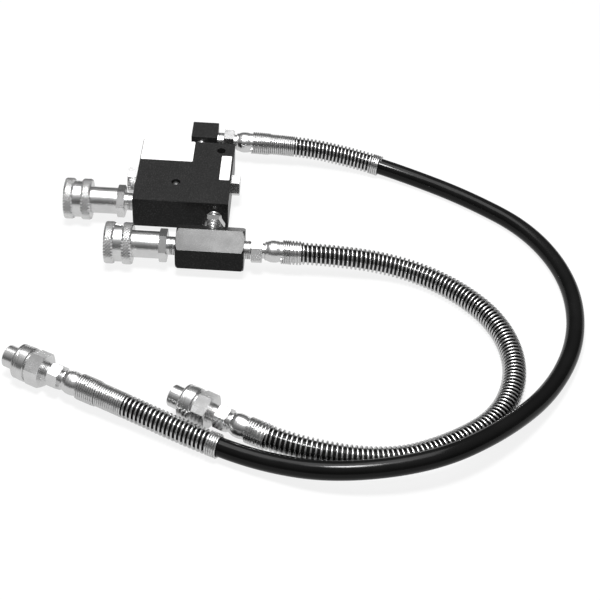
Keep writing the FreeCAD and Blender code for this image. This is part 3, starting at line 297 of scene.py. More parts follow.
def grey(level: float, warm: float = 0.0) -> Colour:
    """A grey, with a little warmth added if wanted.

    Args:
        level: how light it is, from 0 to 1.
        warm: how much redder it is than neutral.

    Returns:
        The colour.
    """
    return (level * (1 + warm), level, level * (1 - warm), 1.0)


# Finishes.


@dataclass(frozen=True)
class BlackSteel:
    """Satin black finish of the block, the tee bar and the elbow block."""

    level: float = 0.014
    fleck: float = 0.09
    rough: float = 0.25
    shine: float = 0.12

    def build(self) -> bpy.types.Material:
        """Makes the material: fine pale flecks, faint clouds and a matt grain.

        Returns:
            The material.
        """
        shader = Shader("black_steel")
        where = shader.place()
        grain = shader.noise(where, 950.0, 3.0, 0.75)
        clouds = shader.noise(where, 38.0, 4.0, 0.55)
        flecks = shader.ramp(grain, 0.53, 0.78)
        patches = shader.ramp(clouds, 0.35, 0.7) * 0.5
        tone = shader.mix(patches, grey(self.level), grey(self.level * 1.35))
        colour = shader.mix(flecks * 0.85, tone, grey(self.fleck))
        rough = shader.ramp(clouds, 0.2, 0.8) * 0.12 + (self.rough - 0.06)
        normal = shader.bump(grain, 0.10, 0.0001)
        return shader.surface(
            Base_Color=colour, Roughness=rough, Normal=normal, Specular_IOR_Level=self.shine)


@dataclass(frozen=True)
class PlatedSteel:
    """Zinc plate on hexagons, couplers and fittings."""

    name: str = "plated_steel"
    level: float = 0.69
    rough: float = 0.22
    cloud: float = 0.08

    def build(self) -> bpy.types.Material:
        """Makes the material: bright metal with turning marks, faint blotches and small stains.

        Returns:
            The material.
        """
        shader = Shader(self.name)
        where = shader.place()
        clouds = shader.noise(where, 55.0, 3.0, 0.6)
        fine = shader.noise(shader.place((900.0, 260.0, 260.0)), 1.0, 2.0, 0.5)
        stain = shader.ramp(shader.noise(where, 420.0, 4.0, 0.7), 0.60, 0.80)
        patches = shader.ramp(clouds, 0.3, 0.7)
        bright = shader.mix(patches, grey(self.level), grey(self.level * 1.18))
        colour = shader.mix(stain * 0.25, bright, grey(self.level * 0.6, 0.02))
        rough = self.rough + shader.ramp(clouds, 0.3, 0.75) * self.cloud + stain * 0.06
        normal = shader.bump(fine, 0.12, 0.00005)
        return shader.surface(Base_Color=colour, Roughness=rough, Normal=normal, Metallic=1.0)


@dataclass(frozen=True)
class GuardWire:
    """Plated round wire of the spring guards."""

    level: float = 0.68
    rough: float = 0.22

    def build(self) -> bpy.types.Material:
        """Makes the material: bright drawn wire with small dull spots.

        Returns:
            The material.
        """
        shader = Shader("guard_wire")
        where = shader.place()
        spots = shader.ramp(shader.noise(where, 260.0, 4.0, 0.65), 0.5, 0.75)
        colour = shader.mix(spots * 0.6, grey(self.level), grey(self.level * 0.6))
        rough = self.rough + spots * 0.2
        return shader.surface(Base_Color=colour, Roughness=rough, Metallic=1.0)


@dataclass(frozen=True)
class HoseRubber:
    """Smooth black cover of the hoses."""

    level: float = 0.003
    rough: float = 0.13
    shine: float = 0.2

    def build(self) -> bpy.types.Material:
        """Makes the material: glossy black with fine pores and a dusty haze.

        Returns:
            The material.
        """
        shader = Shader("hose_rubber")
        where = shader.place()
        haze = shader.noise(where, 24.0, 4.0, 0.6)
        pores = shader.noise(where, 1400.0, 2.0, 0.6)
        dust = shader.ramp(haze, 0.4, 0.75) * 0.6
        colour = shader.mix(dust, grey(self.level), grey(self.level * 2.2))
        rough = self.rough + shader.ramp(haze, 0.35, 0.7) * 0.12
        normal = shader.bump(pores, 0.08, 0.00005)
        return shader.surface(
            Base_Color=colour, Roughness=rough, Normal=normal, Specular_IOR_Level=self.shine)


@dataclass(frozen=True)
class SealRubber:
    """Dull black rubber of the seals."""

    level: float = 0.02

    def build(self) -> bpy.types.Material:
        """Makes the material: matt black with a fine grain.

        Returns:
            The material.
        """
        shader = Shader("seal_rubber")
        grain = shader.noise(shader.place(), 1500.0)
        colour = shader.mix(grain, grey(self.level), grey(self.level * 1.8))
        normal = shader.bump(grain, 0.2, 0.00005)
        return shader.surface(Base_Color=colour, Roughness=0.7, Normal=normal)


@dataclass(frozen=True)
class BlankLabel:
    """Plain off-white film."""

    level: float = 0.80

    def build(self) -> bpy.types.Material:
        """Makes the material: smooth film with a faint mottle and small scuffs.

        Returns:
            The material.
        """
        shader = Shader("blank_label")
        where = shader.place()
        mottle = shader.noise(where, 60.0, 4.0, 0.6)
        scuffs = shader.ramp(shader.noise(where, 700.0, 3.0, 0.7), 0.62, 0.75)
        patches = shader.ramp(mottle, 0.3, 0.7)
        colour = shader.mix(patches, grey(self.level), grey(self.level * 0.93, 0.01))
        colour = shader.mix(scuffs * 0.25, colour, grey(self.level * 0.7))
        normal = shader.bump(mottle, 0.1, 0.00008)
        return shader.surface(Base_Color=colour, Roughness=0.42 + patches * 0.1, Normal=normal)


class Finish(Enum):
    """The finishes of the part, by the record's material slot."""

    BLACK_STEEL = "black_steel"
    PLATED = "plated_steel"
    GROUND = "ground_steel"
    DARK = "dark_steel"
    SPRING = "spring_steel"
    WIRE = "guard_wire"
    RUBBER = "hose_rubber"
    SEAL = "seal_rubber"
    LABEL = "blank_label"


class Paintbox:
    """Every material, made once."""

    def __init__(self) -> None:
        """Builds the materials."""
        self.materials = {
            Finish.BLACK_STEEL: BlackSteel().build(),
            Finish.PLATED: PlatedSteel().build(),
            Finish.GROUND: PlatedSteel("ground_steel", 0.55, 0.3, 0.05).build(),
            Finish.DARK: PlatedSteel("dark_steel", 0.09, 0.48, 0.10).build(),
            Finish.SPRING: PlatedSteel("spring_steel", 0.32, 0.35, 0.08).build(),
            Finish.WIRE: GuardWire().build(),
            Finish.RUBBER: HoseRubber().build(),
            Finish.SEAL: SealRubber().build(),
            Finish.LABEL: BlankLabel().build(),
        }

    def __getitem__(self, finish: Finish) -> bpy.types.Material:
        """The material of a finish."""
        return self.materials[finish]

    def paint(self, piece: bpy.types.Object, finish: Finish) -> None:
        """Gives a piece its only material.

        Args:
            piece: the object.
            finish: its finish.
        """
        if piece.material_slots:
            for slot in piece.material_slots:
                slot.material = self[finish]
        else:
            piece.data.materials.append(self[finish])


# Mesh and curves.


def link(name: str, data: Any) -> bpy.types.Object:
    """Puts new data into the scene as an object at the origin.

    Args:
        name: the object's name.
        data: a mesh or a curve.

    Returns:
        The object.
    """
    made = bpy.data.objects.new(name, data)
    bpy.context.scene.collection.objects.link(made)
    return made


def line_object(name: str, points: np.ndarray) -> bpy.types.Object:
    """A mesh of one open line.

    Args:
        name: the object's name.
        points: the points, one a row.

    Returns:
        The object.
    """
    mesh = bpy.data.meshes.new(name)
    edges = [(i, i + 1) for i in range(len(points) - 1)]
    mesh.from_pydata([tuple(map(float, p)) for p in points], edges, [])
    return link(name, mesh)


def bake(piece: bpy.types.Object) -> None:
    """Turns a piece's modifiers into plain mesh.

    Args:
        piece: the object.
    """
    bpy.context.view_layer.update()
    graph = bpy.context.evaluated_depsgraph_get()
    solid = bpy.data.meshes.new_from_object(piece.evaluated_get(graph), depsgraph=graph)
    old = piece.data
    piece.modifiers.clear()
    piece.data = solid
    if not old.users:
        bpy.data.meshes.remove(old)


def shade(piece: bpy.types.Object, angle: float = 35.0) -> None:
    """Shades a mesh smooth, except over sharp edges.

    Args:
        piece: the object.
        angle: the sharpest angle that stays smooth, in degrees.
    """
    mesh = piece.data
    mesh.shade_smooth()
    mesh.set_sharp_from_angle(angle=math.radians(angle))


@dataclass
class NodeTree:
    """A Geometry Nodes tree under construction."""

    name: str
    tree: Any = field(init=False)
    entry: Any = field(init=False)
    exit: Any = field(init=False)

    def __post_init__(self) -> None:
        """Makes the tree with its geometry sockets."""
        self.tree = bpy.data.node_groups.new(self.name, "GeometryNodeTree")
        for way in ("INPUT", "OUTPUT"):
            self.tree.interface.new_socket(
                "Geometry", in_out=way, socket_type="NodeSocketGeometry")
        self.entry = self.tree.nodes.new("NodeGroupInput")
        self.exit = self.tree.nodes.new("NodeGroupOutput")

    def number(self, name: str, kind: str = "NodeSocketFloat") -> None:
        """Adds a named input.

        Args:
            name: what it is called.
            kind: its socket type.
        """
        self.tree.interface.new_socket(name, in_out="INPUT", socket_type=kind)

    def node(self, kind: str, inputs: dict[Any, Any], **settings: Any) -> Any:
        """Adds one node.

        Args:
            kind: the node's type.
            inputs: values or output sockets by socket name or number.
            **settings: the node's own settings, set first.

        Returns:
            The node.
        """
        made = self.tree.nodes.new(kind)
        for key, value in settings.items():
            setattr(made, key, value)
        for key, value in inputs.items():
            if isinstance(value, bpy.types.NodeSocket):
                self.tree.links.new(value, made.inputs[key])
            else:
                made.inputs[key].default_value = value
        return made

    def math(self, operation: str, first: Any, second: Any = 0.0) -> Any:
        """The result of one Math node."""
        return self.node("ShaderNodeMath", {0: first, 1: second}, operation=operation).outputs[0]

    def vector(self, operation: str, first: Any, second: Any = (0.0, 0.0, 0.0)) -> Any:
        """The vector result of one Vector Math node."""
        made = self.node("ShaderNodeVectorMath", {0: first, 1: second}, operation=operation)
        return made.outputs[0]

    def scaled(self, vector: Any, factor: Any) -> Any:
        """A vector times a number.

        Args:
            vector: the vector's socket.
            factor: the number's socket.

        Returns:
            The product.
        """
        made = self.node("ShaderNodeVectorMath", {0: vector}, operation="SCALE")
        self.tree.links.new(factor, made.inputs["Scale"])
        return made.outputs[0]

    def ramp(self, value: Any, start: Any, width: Any) -> Any:
        """0 below the start and 1 past start plus width, straight between."""
        past = self.math("DIVIDE", self.math("SUBTRACT", value, start), width)
        return self.node("ShaderNodeMath", {0: past}, operation="ADD", use_clamp=True).outputs[0]

    def finish(self, geometry: Any) -> None:
        """Realizes what is instanced, sets the material and ends the tree.

        Args:
            geometry: the last geometry socket.
        """
        real = self.node("GeometryNodeRealizeInstances", {"Geometry": geometry}).outputs[0]
        painted = self.node(
            "GeometryNodeSetMaterial", {"Geometry": real, "Material": self.entry.outputs["Finish"]}
        ).outputs[0]
        self.tree.links.new(painted, self.exit.inputs["Geometry"])

    def use(self, piece: bpy.types.Object, values: dict[str, Any]) -> None:
        """Puts the tree on a piece with these inputs and bakes it.

        Args:
            piece: the object.
            values: input values by name.
        """
        modifier = piece.modifiers.new(self.name, "NODES")
        modifier.node_group = self.tree
        known = {
            item.name: item.identifier
            for item in self.tree.interface.items_tree
            if item.item_type == "SOCKET" and item.in_out == "INPUT"
        }
        for name, value in values.items():
            modifier[known[name]] = value
        bake(piece)


def winding_tree() -> NodeTree:
    """A wire wound round a line: each point of the line is one step of the turn.

    Returns:
        The tree, with inputs for the winding's radius, its wider ends, the wire's radius and sides,
        the steps in a turn and the finish.
    """
    work = NodeTree("winding")
    work.number("Winding radius")
    work.number("Wide radius")
    work.number("Wide steps at start")
    work.number("First wide step at end")
    work.number("Wire radius")
    work.number("Wire sides", "NodeSocketInt")
    work.number("Steps in a turn")
    work.number("Finish", "NodeSocketMaterial")
    inputs = work.entry.outputs
    curve = work.node("GeometryNodeMeshToCurve", {"Mesh": inputs["Geometry"]}).outputs[0]
    index = work.node("GeometryNodeInputIndex", {}).outputs[0]
    turns = work.math("DIVIDE", index, inputs["Steps in a turn"])
    angle = work.math("MULTIPLY", turns, 2 * math.pi)
    normal = work.node("GeometryNodeInputNormal", {}).outputs[0]
    tangent = work.node("GeometryNodeInputTangent", {}).outputs[0]
    across = work.vector("CROSS_PRODUCT", tangent, normal)
    away = work.vector(
        "ADD",
        work.scaled(normal, work.math("COSINE", angle)),
        work.scaled(across, work.math("SINE", angle)),
    )
    narrowed = work.ramp(index, inputs["Wide steps at start"], inputs["Steps in a turn"])
    widened = work.ramp(index, inputs["First wide step at end"], inputs["Steps in a turn"])
    wide_share = work.math("ADD", work.math("SUBTRACT", 1.0, narrowed), widened)
    extra = work.math("SUBTRACT", inputs["Wide radius"], inputs["Winding radius"])
    radius = work.math("ADD", inputs["Winding radius"], work.math("MULTIPLY", extra, wide_share))
    captured = work.node("GeometryNodeCaptureAttribute", {"Geometry": curve})
    captured.capture_items.new("VECTOR", "Away")
    work.tree.links.new(work.scaled(away, radius), captured.inputs["Away"])
    moved = work.node(
        "GeometryNodeSetPosition",
        {
            "Geometry": captured.outputs["Geometry"],
            "Offset": captured.outputs["Away"],
        },
    ).outputs[0]
    section = work.node(
        "GeometryNodeCurvePrimitiveCircle",
        {"Resolution": inputs["Wire sides"], "Radius": inputs["Wire radius"]},
        mode="RADIUS",
    ).outputs[0]
    tube = work.node(
        "GeometryNodeCurveToMesh", {"Curve": moved, "Profile Curve": section, "Fill Caps": True}
    ).outputs[0]
    work.finish(tube)
    return work


def knurl_tree() -> NodeTree:
    """Rows of small four-sided points round the X axis, each row half a step on from the last.

    Returns:
        The tree, with inputs for the band's radius, width, points in a row, rows, the points' size
        and height, and the finish.
    """
    work = NodeTree("knurl")
    for name in ("Band radius", "Band width", "Point size", "Point height"):
        work.number(name)
    work.number("Points in a row", "NodeSocketInt")
    work.number("Rows", "NodeSocketInt")
    work.number("Finish", "NodeSocketMaterial")
    inputs = work.entry.outputs
    total = work.math("MULTIPLY", inputs["Points in a row"], inputs["Rows"])
    points = work.node("GeometryNodePoints", {"Count": total}).outputs[0]
    index = work.node("GeometryNodeInputIndex", {}).outputs[0]
    row = work.math("FLOOR", work.math("DIVIDE", index, inputs["Points in a row"]))
    column = work.math("MODULO", index, inputs["Points in a row"])
    stagger = work.math("MULTIPLY", work.math("MODULO", row, 2.0), 0.5)
    share = work.math("DIVIDE", work.math("ADD", column, stagger), inputs["Points in a row"])
    angle = work.math("MULTIPLY", share, 2 * math.pi)
    step = work.math("DIVIDE", inputs["Band width"], inputs["Rows"])
    along = work.math("MULTIPLY", work.math("ADD", row, 0.5), step)
    radial = work.node(
        "ShaderNodeCombineXYZ", {1: work.math("COSINE", angle), 2: work.math("SINE", angle)}
    ).outputs[0]
    axial = work.node("ShaderNodeCombineXYZ", {0: along}).outputs[0]
    spot = work.vector("ADD", axial, work.scaled(radial, inputs["Band radius"]))
    placed = work.node("GeometryNodeSetPosition", {"Geometry": points, "Position": spot}).outputs[0]
    spike = work.node(
        "GeometryNodeMeshCone",
        {
            "Vertices": 4,
            "Radius Top": 0.0,
            "Radius Bottom": inputs["Point size"],
            "Depth": inputs["Point height"],
        },
        fill_type="NONE",
    ).outputs[0]
    upright = work.node(
        "FunctionNodeAlignRotationToVector", {"Vector": radial}, axis="Z", pivot_axis="X"
    ).outputs[0]
    spikes = work.node(
        "GeometryNodeInstanceOnPoints", {"Points": placed, "Instance": spike, "Rotation": upright}
    ).outputs[0]
    work.finish(spikes)
    return work


@dataclass(frozen=True)
class Bearing:
    """A horizontal axis: where it starts and which way it points."""

    origin: Point
    heading: float

    def direction(self) -> Vector:
        """The axis as a unit vector."""
        angle = math.radians(self.heading)
        return Vector((math.cos(angle), math.sin(angle), 0.0))

    def at(self, distance: float) -> Vector:
        """The point at a distance along the axis."""
        return Vector(self.origin) + self.direction() * distance

    def matrix(self) -> Matrix:
        """Takes the X axis onto this axis."""
        turned = Matrix.Rotation(math.radians(self.heading), 4, "Z")
        return Matrix.Translation(self.origin) @ turned


@dataclass(frozen=True)
class WideEnds:
    """Where a winding is wider: up to one step and from another on."""

    radius: float
    start_steps: float
    end_step: float


class Workshop:
    """The tools that several sub-assemblies share."""

    thread_steps: int = 32
    ridge_share: float = 0.36
    ridge_sunk: float = 0.28

    def __init__(self, paints: Paintbox) -> None:
        """Makes the Geometry Nodes trees.

        Args:
            paints: the finishes.
        """
        self.paints = paints
        self.winding = winding_tree()
        self.knurl = knurl_tree()

    def wind(self, name: str, points: np.ndarray, radius: float, wire: float, sides: int,
             steps: int, finish: Finish, wide: "WideEnds | None" = None) -> bpy.types.Object:
        """A wire wound round a line of points.

        Args:
            name: the piece's name.
            points: the line, one point for each step of the turn.
            radius: from the line to the middle of the wire.
            wire: the wire's radius.
            sides: corners of the wire's section.
            steps: points in one turn.
            finish: the finish.
            wide: the wider ends, if there are any.

        Returns:
            The piece.
        """
        piece = line_object(name, points)
        ends = wide or WideEnds(radius, -2.0 * steps, len(points) + 2.0 * steps)
        self.winding.use(piece, {
            "Winding radius": radius,
            "Wide radius": ends.radius,
            "Wide steps at start": ends.start_steps,
            "First wide step at end": ends.end_step,
            "Wire radius": wire,
            "Wire sides": sides,
            "Steps in a turn": float(steps),
            "Finish": self.paints[finish],
        })
        self.tidy(piece, finish, 60.0 if sides > 4 else 20.0)
        return piece

    def tidy(self, piece: bpy.types.Object, finish: Finish, angle: float) -> None:
        """Shades a baked piece and sees that it has its finish.

        Args:
            piece: the object.
            finish: its finish.
            angle: the sharpest angle that stays smooth, in degrees.
        """
        shade(piece, angle)
        if not piece.data.materials:
            piece.data.materials.append(self.paints[finish])

    def thread(self, name: str, axis: Bearing, start: float, end: float, radius: float,
               pitch: float, finish: Finish) -> bpy.types.Object:
        """The ridge of a screw thread round an axis.

        Args:
            name: the piece's name.
            axis: the axis.
            start: where the thread starts along it.
            end: where it ends.
            radius: the plain cylinder that carries it.
            pitch: the distance between ridges.
            finish: the finish.

        Returns:
            The piece.
        """
        steps = self.thread_steps
        count = int((end - start) / pitch * steps)
        points = np.array([axis.at(start + (end - start) * k / count) for k in range(count + 1)])
        ridge = pitch * self.ridge_share
        piece = self.wind(
            name, points, radius - ridge * self.ridge_sunk, ridge, 4, steps, finish)
        self.attach(piece)
        return piece

    def attach(self, piece: bpy.types.Object, body: str = FIXED_BODY) -> None:
        """Makes a piece move with a body.

        Args:
            piece: the object.
            body: the body.
        """
        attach(piece, body)
        LOG.info("piece %s on %s", piece.name, body)


# Springs.


@dataclass(frozen=True)
class CoilSpring:
    """A spring inside the part, copied from its solid."""

    node: str
    joint: str
    travel: float
    axis: Point

    def build(self, shop: Workshop) -> bpy.types.Object:
        """Copies the solid spring, joins its loose corners, hides the solid and fixes the copy to
        the valve.

        Args:
            shop: the shared tools.

        Returns:
            The piece.
        """
        mesh = frame["nodes"][self.node].data.copy()
        joined = bmesh.new()
        joined.from_mesh(mesh)
        bmesh.ops.remove_doubles(joined, verts=joined.verts, dist=MERGE_DISTANCE)
        joined.to_mesh(mesh)
        joined.free()
        mesh.materials.clear()
        piece = link(self.node + "_coil", mesh)
        shop.tidy(piece, Finish.SPRING, 35.0)
        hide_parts(self.node)
        shop.attach(piece)
        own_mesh(piece)
        return piece


# Hoses.


@dataclass
class Route:
    """The line of a hose: control points of a smooth open curve, and lengths measured along it."""

    name: str
    controls: Sequence[Point]
    line: np.ndarray = field(init=False)
    reach: np.ndarray = field(init=False)

    def __post_init__(self) -> None:
        """Reads the curve's points and their distances from its start."""
        data = self.curve(self.name + "_line")
        data.resolution_u = 24
        probe = link(self.name + "_line", data)
        bpy.context.view_layer.update()
        graph = bpy.context.evaluated_depsgraph_get()
        mesh = bpy.data.meshes.new_from_object(probe.evaluated_get(graph), depsgraph=graph)
        self.line = np.array([tuple(v.co) for v in mesh.vertices])
        steps = np.linalg.norm(np.diff(self.line, axis=0), axis=1)
        self.reach = np.concatenate([[0.0], np.cumsum(steps)])
        bpy.data.objects.remove(probe)
        bpy.data.meshes.remove(mesh)

    def curve(self, name: str) -> bpy.types.Curve:
        """The curve with no thickness.

        Args:
            name: the data's name.

        Returns:
            The curve data.
        """
        data = bpy.data.curves.new(name, "CURVE")
        data.dimensions = "3D"
        spline = data.splines.new("NURBS")
        spline.points.add(len(self.controls) - 1)
        for point, place in zip(spline.points, self.controls):
            point.co = (*place, 1.0)
        spline.order_u = 3
        spline.use_endpoint_u = True
        return data

    @property
    def length(self) -> float:
        """Length along the curve."""
        return float(self.reach[-1])

    def at(self, distances: np.ndarray) -> np.ndarray:
        """Points at distances along the curve.

        Args:
            distances: distances from the start.

        Returns:
            One point a row.
        """
        columns = [np.interp(distances, self.reach, self.line[:, k]) for k in range(3)]
        return np.stack(columns, axis=1)

    def nearest(self, place: Point) -> float:
        """How far along the curve its nearest point to a place lies."""
        gaps = np.linalg.norm(self.line - np.array(place), axis=1)
        return float(self.reach[int(gaps.argmin())])


@dataclass(frozen=True)
class CoilRun:
    """One stretch of a spring guard: where it starts and ends, its pitch and its radius."""

    start: float
    end: float
    pitch: float
    radius: float


@dataclass
class HoseLine:
    """One hose with its guards, end fittings and far coupler."""

    name: str
    controls: Sequence[Point]
    tube_length: float
    near: Bearing
    far: Bearing
    diameter: float = 0.016
    wire: float = 0.00095
    steps: int = 16
    shell_reach: float = 0.0275
    shell_radius: float = 0.01008
    collar_thread: tuple[float, float] = (0.0211, 0.0261)
    collar_radius: float = 0.0141
    collar_pitch: float = 0.0025
    end_thread: tuple[float, float] = (0.0004, 0.0060)
    past_the_ends: float = 99.0
    route: Route = field(init=False)

    def build(self, shop: Workshop, guards: dict[str, Sequence[CoilRun]]) -> None:
        """Makes the hose, its guards, its threads and its coupler's spring.

        Args:
            shop: the shared tools.
            guards: the coil runs of each guard node.
        """
        outwards = -self.far.direction()
        spring = CoilSpring(
            f"plug_spring_{self.name}", f"plug_poppet_{self.name}_slide", POPPET_TRAVEL,
            tuple(outwards),
        ).build(shop)
        self.route = Route(self.name + "_route", self.controls)
        hose = self.make_hose(shop)
        coils = [self.make_guard(shop, node, runs) for node, runs in guards.items()]
        threads = self.make_threads(shop)
        nodes = frame["nodes"]
        fittings = [
            nodes[f"{kind}_{self.name}_{end}"]
            for kind in ("fitting", "shell") for end in ("near", "far")
        ]
        far = [nodes[f"{kind}_{self.name}"] for kind in ("plug", "plug_poppet")] + [spring]
        coils + threads + fittings + far

    def make_hose(self, shop: Workshop) -> bpy.types.Object:
        """The rubber hose itself, a round curve along the route.

        Args:
            shop: the shared tools.

        Returns:
            The piece.
        """
        data = self.route.curve(self.name + "_hose_cover")
        data.bevel_depth = self.diameter / 2
        data.bevel_resolution = 6
        data.resolution_u = 16
        data.use_fill_caps = True
        hose = link(self.name + "_hose_cover", data)
        data.materials.append(shop.paints[Finish.RUBBER])
        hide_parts(self.name + "_hose")
        shop.attach(hose)
        return hose

    def make_guard(self, shop: Workshop, node: str, runs: Sequence[CoilRun]) -> bpy.types.Object:
        """A spring guard: one wire wound along several runs of the route, wider over a shell.

        Args:
            shop: the shared tools.
            node: the solid that it stands for.
            runs: the runs in order.

        Returns:
            The piece.
        """
        distances = [runs[0].start]
        for run in runs:
            while distances[-1] < run.end:
                distances.append(distances[-1] + run.pitch / self.steps)
        line = self.route.at(np.array(distances))
        over_start = self.shell_reach
        over_end = self.route.length - self.shell_reach
        before = 0.0 if runs[0].start < over_start else self.past_the_ends
        after = 0.0 if runs[-1].end > over_end else self.past_the_ends
        ends = WideEnds(
            self.shell_radius,
            float(np.searchsorted(distances, over_start)) - before,
            float(np.searchsorted(distances, over_end)) + after,
        )
        coil = shop.wind(
            node + "_coil", line, runs[0].radius, self.wire, 8, self.steps, Finish.WIRE, ends)
        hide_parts(node)
        shop.attach(coil)
        return coil

    def make_threads(self, shop: Workshop) -> list[bpy.types.Object]:
        """The visible threads: at both ends of the hose and round the far coupler's collar.

        Args:
            shop: the shared tools.

        Returns:
            The threads.
        """
        away = Bearing(self.far.origin, self.far.heading + 180.0)
        made = [shop.thread(
            f"thread_collar_{self.name}", away, *self.collar_thread, self.collar_radius,
            self.collar_pitch, Finish.PLATED)]
        for place, axis in (("near", self.near), ("far", self.far)):
            made.append(shop.thread(
                f"thread_{self.name}_{place}", axis, *self.end_thread, LINE_THREAD_RADIUS,
                LINE_THREAD_PITCH, Finish.PLATED))
        return made


# Valve group.


@dataclass
class ScrewCoupler:
    """A female coupler's free sleeve: knurled bands over the solid sleeve."""

    tag: str
    axis: Bearing
    sleeve_start: float = 0.0312
    back_band: float = 0.0089
    front_band: float = 0.0087
    sleeve_length: float = 0.025
    radius: float = 0.0178
    columns: int = 40
    point_height: float = 0.0011
    point_rise: float = 0.3
    point_spread: float = 0.72
    band_edge: float = 0.0011

    def build(self, shop: Workshop) -> None:
        """Makes both knurled bands and the poppet's spring.

        Args:
            shop: the shared tools.
        """
        CoilSpring(
            f"socket_spring_{self.tag}", f"socket_poppet_{self.tag}_slide", POPPET_TRAVEL,
            (-1.0, 0.0, 0.0),
        ).build(shop)
        end = self.sleeve_start + self.sleeve_length
        plain = 2 * self.band_edge
        self.band(shop, "back", self.sleeve_start + self.band_edge, self.back_band - plain)
        self.band(
            shop, "front", end - self.front_band + self.band_edge, self.front_band - plain)

    def band(self, shop: Workshop, place: str, start: float, width: float) -> None:
        """One knurled band that turns with the sleeve.

        Args:
            shop: the shared tools.
            place: which band, for its name.
            start: where it starts along the coupler.
            width: its width.
        """
        pitch = 2 * math.pi * self.radius / self.columns
        rows = max(2, round(width / (pitch / 2)))
        piece = link(f"knurl_{self.tag}_{place}", bpy.data.meshes.new("knurl"))
        shop.knurl.use(piece, {
            "Band radius": self.radius + self.point_height * self.point_rise,
            "Band width": width,
            "Point size": pitch * self.point_spread,
            "Point height": self.point_height,
            "Points in a row": self.columns,
            "Rows": rows,
            "Finish": shop.paints[Finish.PLATED],
        })
        piece.data.transform(self.axis.matrix() @ Matrix.Translation((start, 0.0, 0.0)))
        shop.tidy(piece, Finish.PLATED, 10.0)
        shop.attach(piece, f"sleeve_{self.tag}")


@dataclass
class ValveGroup:
    """The block, tee bar, elbow block, nipples and blank labels."""

    pilot_radius: float = 0.00685
    thread_gap: float = 0.0003
    label_lift: float = 0.00018
    label_corner: float = 0.0012
    corner_steps: int = 6
    label_boxes: Sequence[tuple[str, float, float, float, float]] = (
        ("label_large", -0.0207, 0.0273, 0.0289, 0.0596),
        ("label_small", 0.0563, 0.0011, 0.0659, 0.0392),
    )

    def build(self, shop: Workshop) -> None:
        """Makes the threads, the labels and the two springs of the cartridge.

        Args:
            shop: the shared tools.
        """
        for node, joint, side in (
            ("load_spring", "pilot_piston_slide", 1.0), ("check_spring", "check_seat_slide", -1.0),
        ):
            CoilSpring(node, joint, CARTRIDGE_TRAVEL, (side, 0.0, 0.0)).build(shop)
        self.make_threads(shop)
        for box in self.label_boxes:
            self.make_label(shop, *box)

    def make_threads(self, shop: Workshop) -> None:
        """The visible threads of the nipples.

        Args:
            shop: the shared tools.
        """
        line, pilot, z = LINE_THREAD_RADIUS, self.pilot_radius, LINE_HEIGHT
        runs = (
            ("nipple_a", Bearing((-0.021325, -0.019125, z), 180.0), 0.0083, line),
            ("nipple_b", Bearing((0.024325, -0.0803, z), 180.0), 0.0083, line),
            ("rear", Bearing((0.033625, 0.0602, z), 90.0), 0.0130, line),
            ("pilot_back", Bearing((0.054725, -0.03505, z), -90.0), 0.0090, pilot),
            ("pilot_front", Bearing((0.054725, -0.05105, z), -90.0), 0.0110, pilot),
        )
        for name, axis, length, radius in runs:
            shop.thread(
                "thread_" + name, axis, self.thread_gap, length - self.thread_gap, radius,
                LINE_THREAD_PITCH, Finish.PLATED)

    def make_label(self, shop: Workshop, name: str, left: float, front: float, right: float,
                   back: float) -> None:
        """A blank label on top of the block, with rounded corners.

        Args:
            shop: the shared tools.
            name: the piece's name.
            left: its lowest x.
            front: its lowest y.
            right: its highest x.
            back: its highest y.
        """
        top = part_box("valve_body")[1][2]
        corner = self.label_corner
        outline = []
        for cx, cy, first in (
            (right - corner, back - corner, 0), (left + corner, back - corner, 90),
            (left + corner, front + corner, 180), (right - corner, front + corner, 270),
        ):
            for k in range(self.corner_steps + 1):
                angle = math.radians(first + 90 * k / self.corner_steps)
                outline.append((cx + corner * math.cos(angle), cy + corner * math.sin(angle)))
        count = len(outline)
        verts = [(x, y, top) for x, y in outline]
        verts += [(x, y, top + self.label_lift) for x, y in outline]
        faces = [tuple(reversed(range(count))), tuple(range(count, 2 * count))]
        faces += [
            (i, (i + 1) % count, count + (i + 1) % count, count + i) for i in range(count)
        ]
        mesh = bpy.data.meshes.new(name)
        mesh.from_pydata(verts, [], faces)
        piece = link(name, mesh)
        shop.paints.paint(piece, Finish.LABEL)
        shop.attach(piece)


# Camera and light.


@dataclass(frozen=True)
class PhotoCamera:
    """The camera that took the photograph, fitted to the block's edges."""

    place: Point = (0.134889, -1.071021, 0.846868)
    lens: float = 85.473
    elevation: float = 41.699
    yaw: float = 0.215
    roll: float = -3.379
    sensor: float = 36.0
    clip: tuple[float, float] = (0.01, 20.0)

    def build(self) -> None:
        """Makes the camera and puts it to use."""
        down_angle = math.radians(self.elevation)
        turn, lean = math.radians(self.yaw), math.radians(self.roll)
        ahead = Vector((
            math.sin(turn) * math.cos(down_angle),
            math.cos(turn) * math.cos(down_angle),
            -math.sin(down_angle),
        ))
        right = Vector((math.cos(turn), -math.sin(turn), 0.0))
        down = ahead.cross(right)
        side = right * math.cos(lean) + down * math.sin(lean)
        under = down * math.cos(lean) - right * math.sin(lean)
        turn_matrix = Matrix((side, -under, -ahead)).transposed().to_4x4()
        data = bpy.data.cameras.new("photo_camera")
        data.lens = self.lens
        data.sensor_width = self.sensor
        data.clip_start, data.clip_end = self.clip
        camera = link("photo_camera", data)
        camera.matrix_world = Matrix.Translation(self.place) @ turn_matrix
        bpy.context.scene.camera = camera


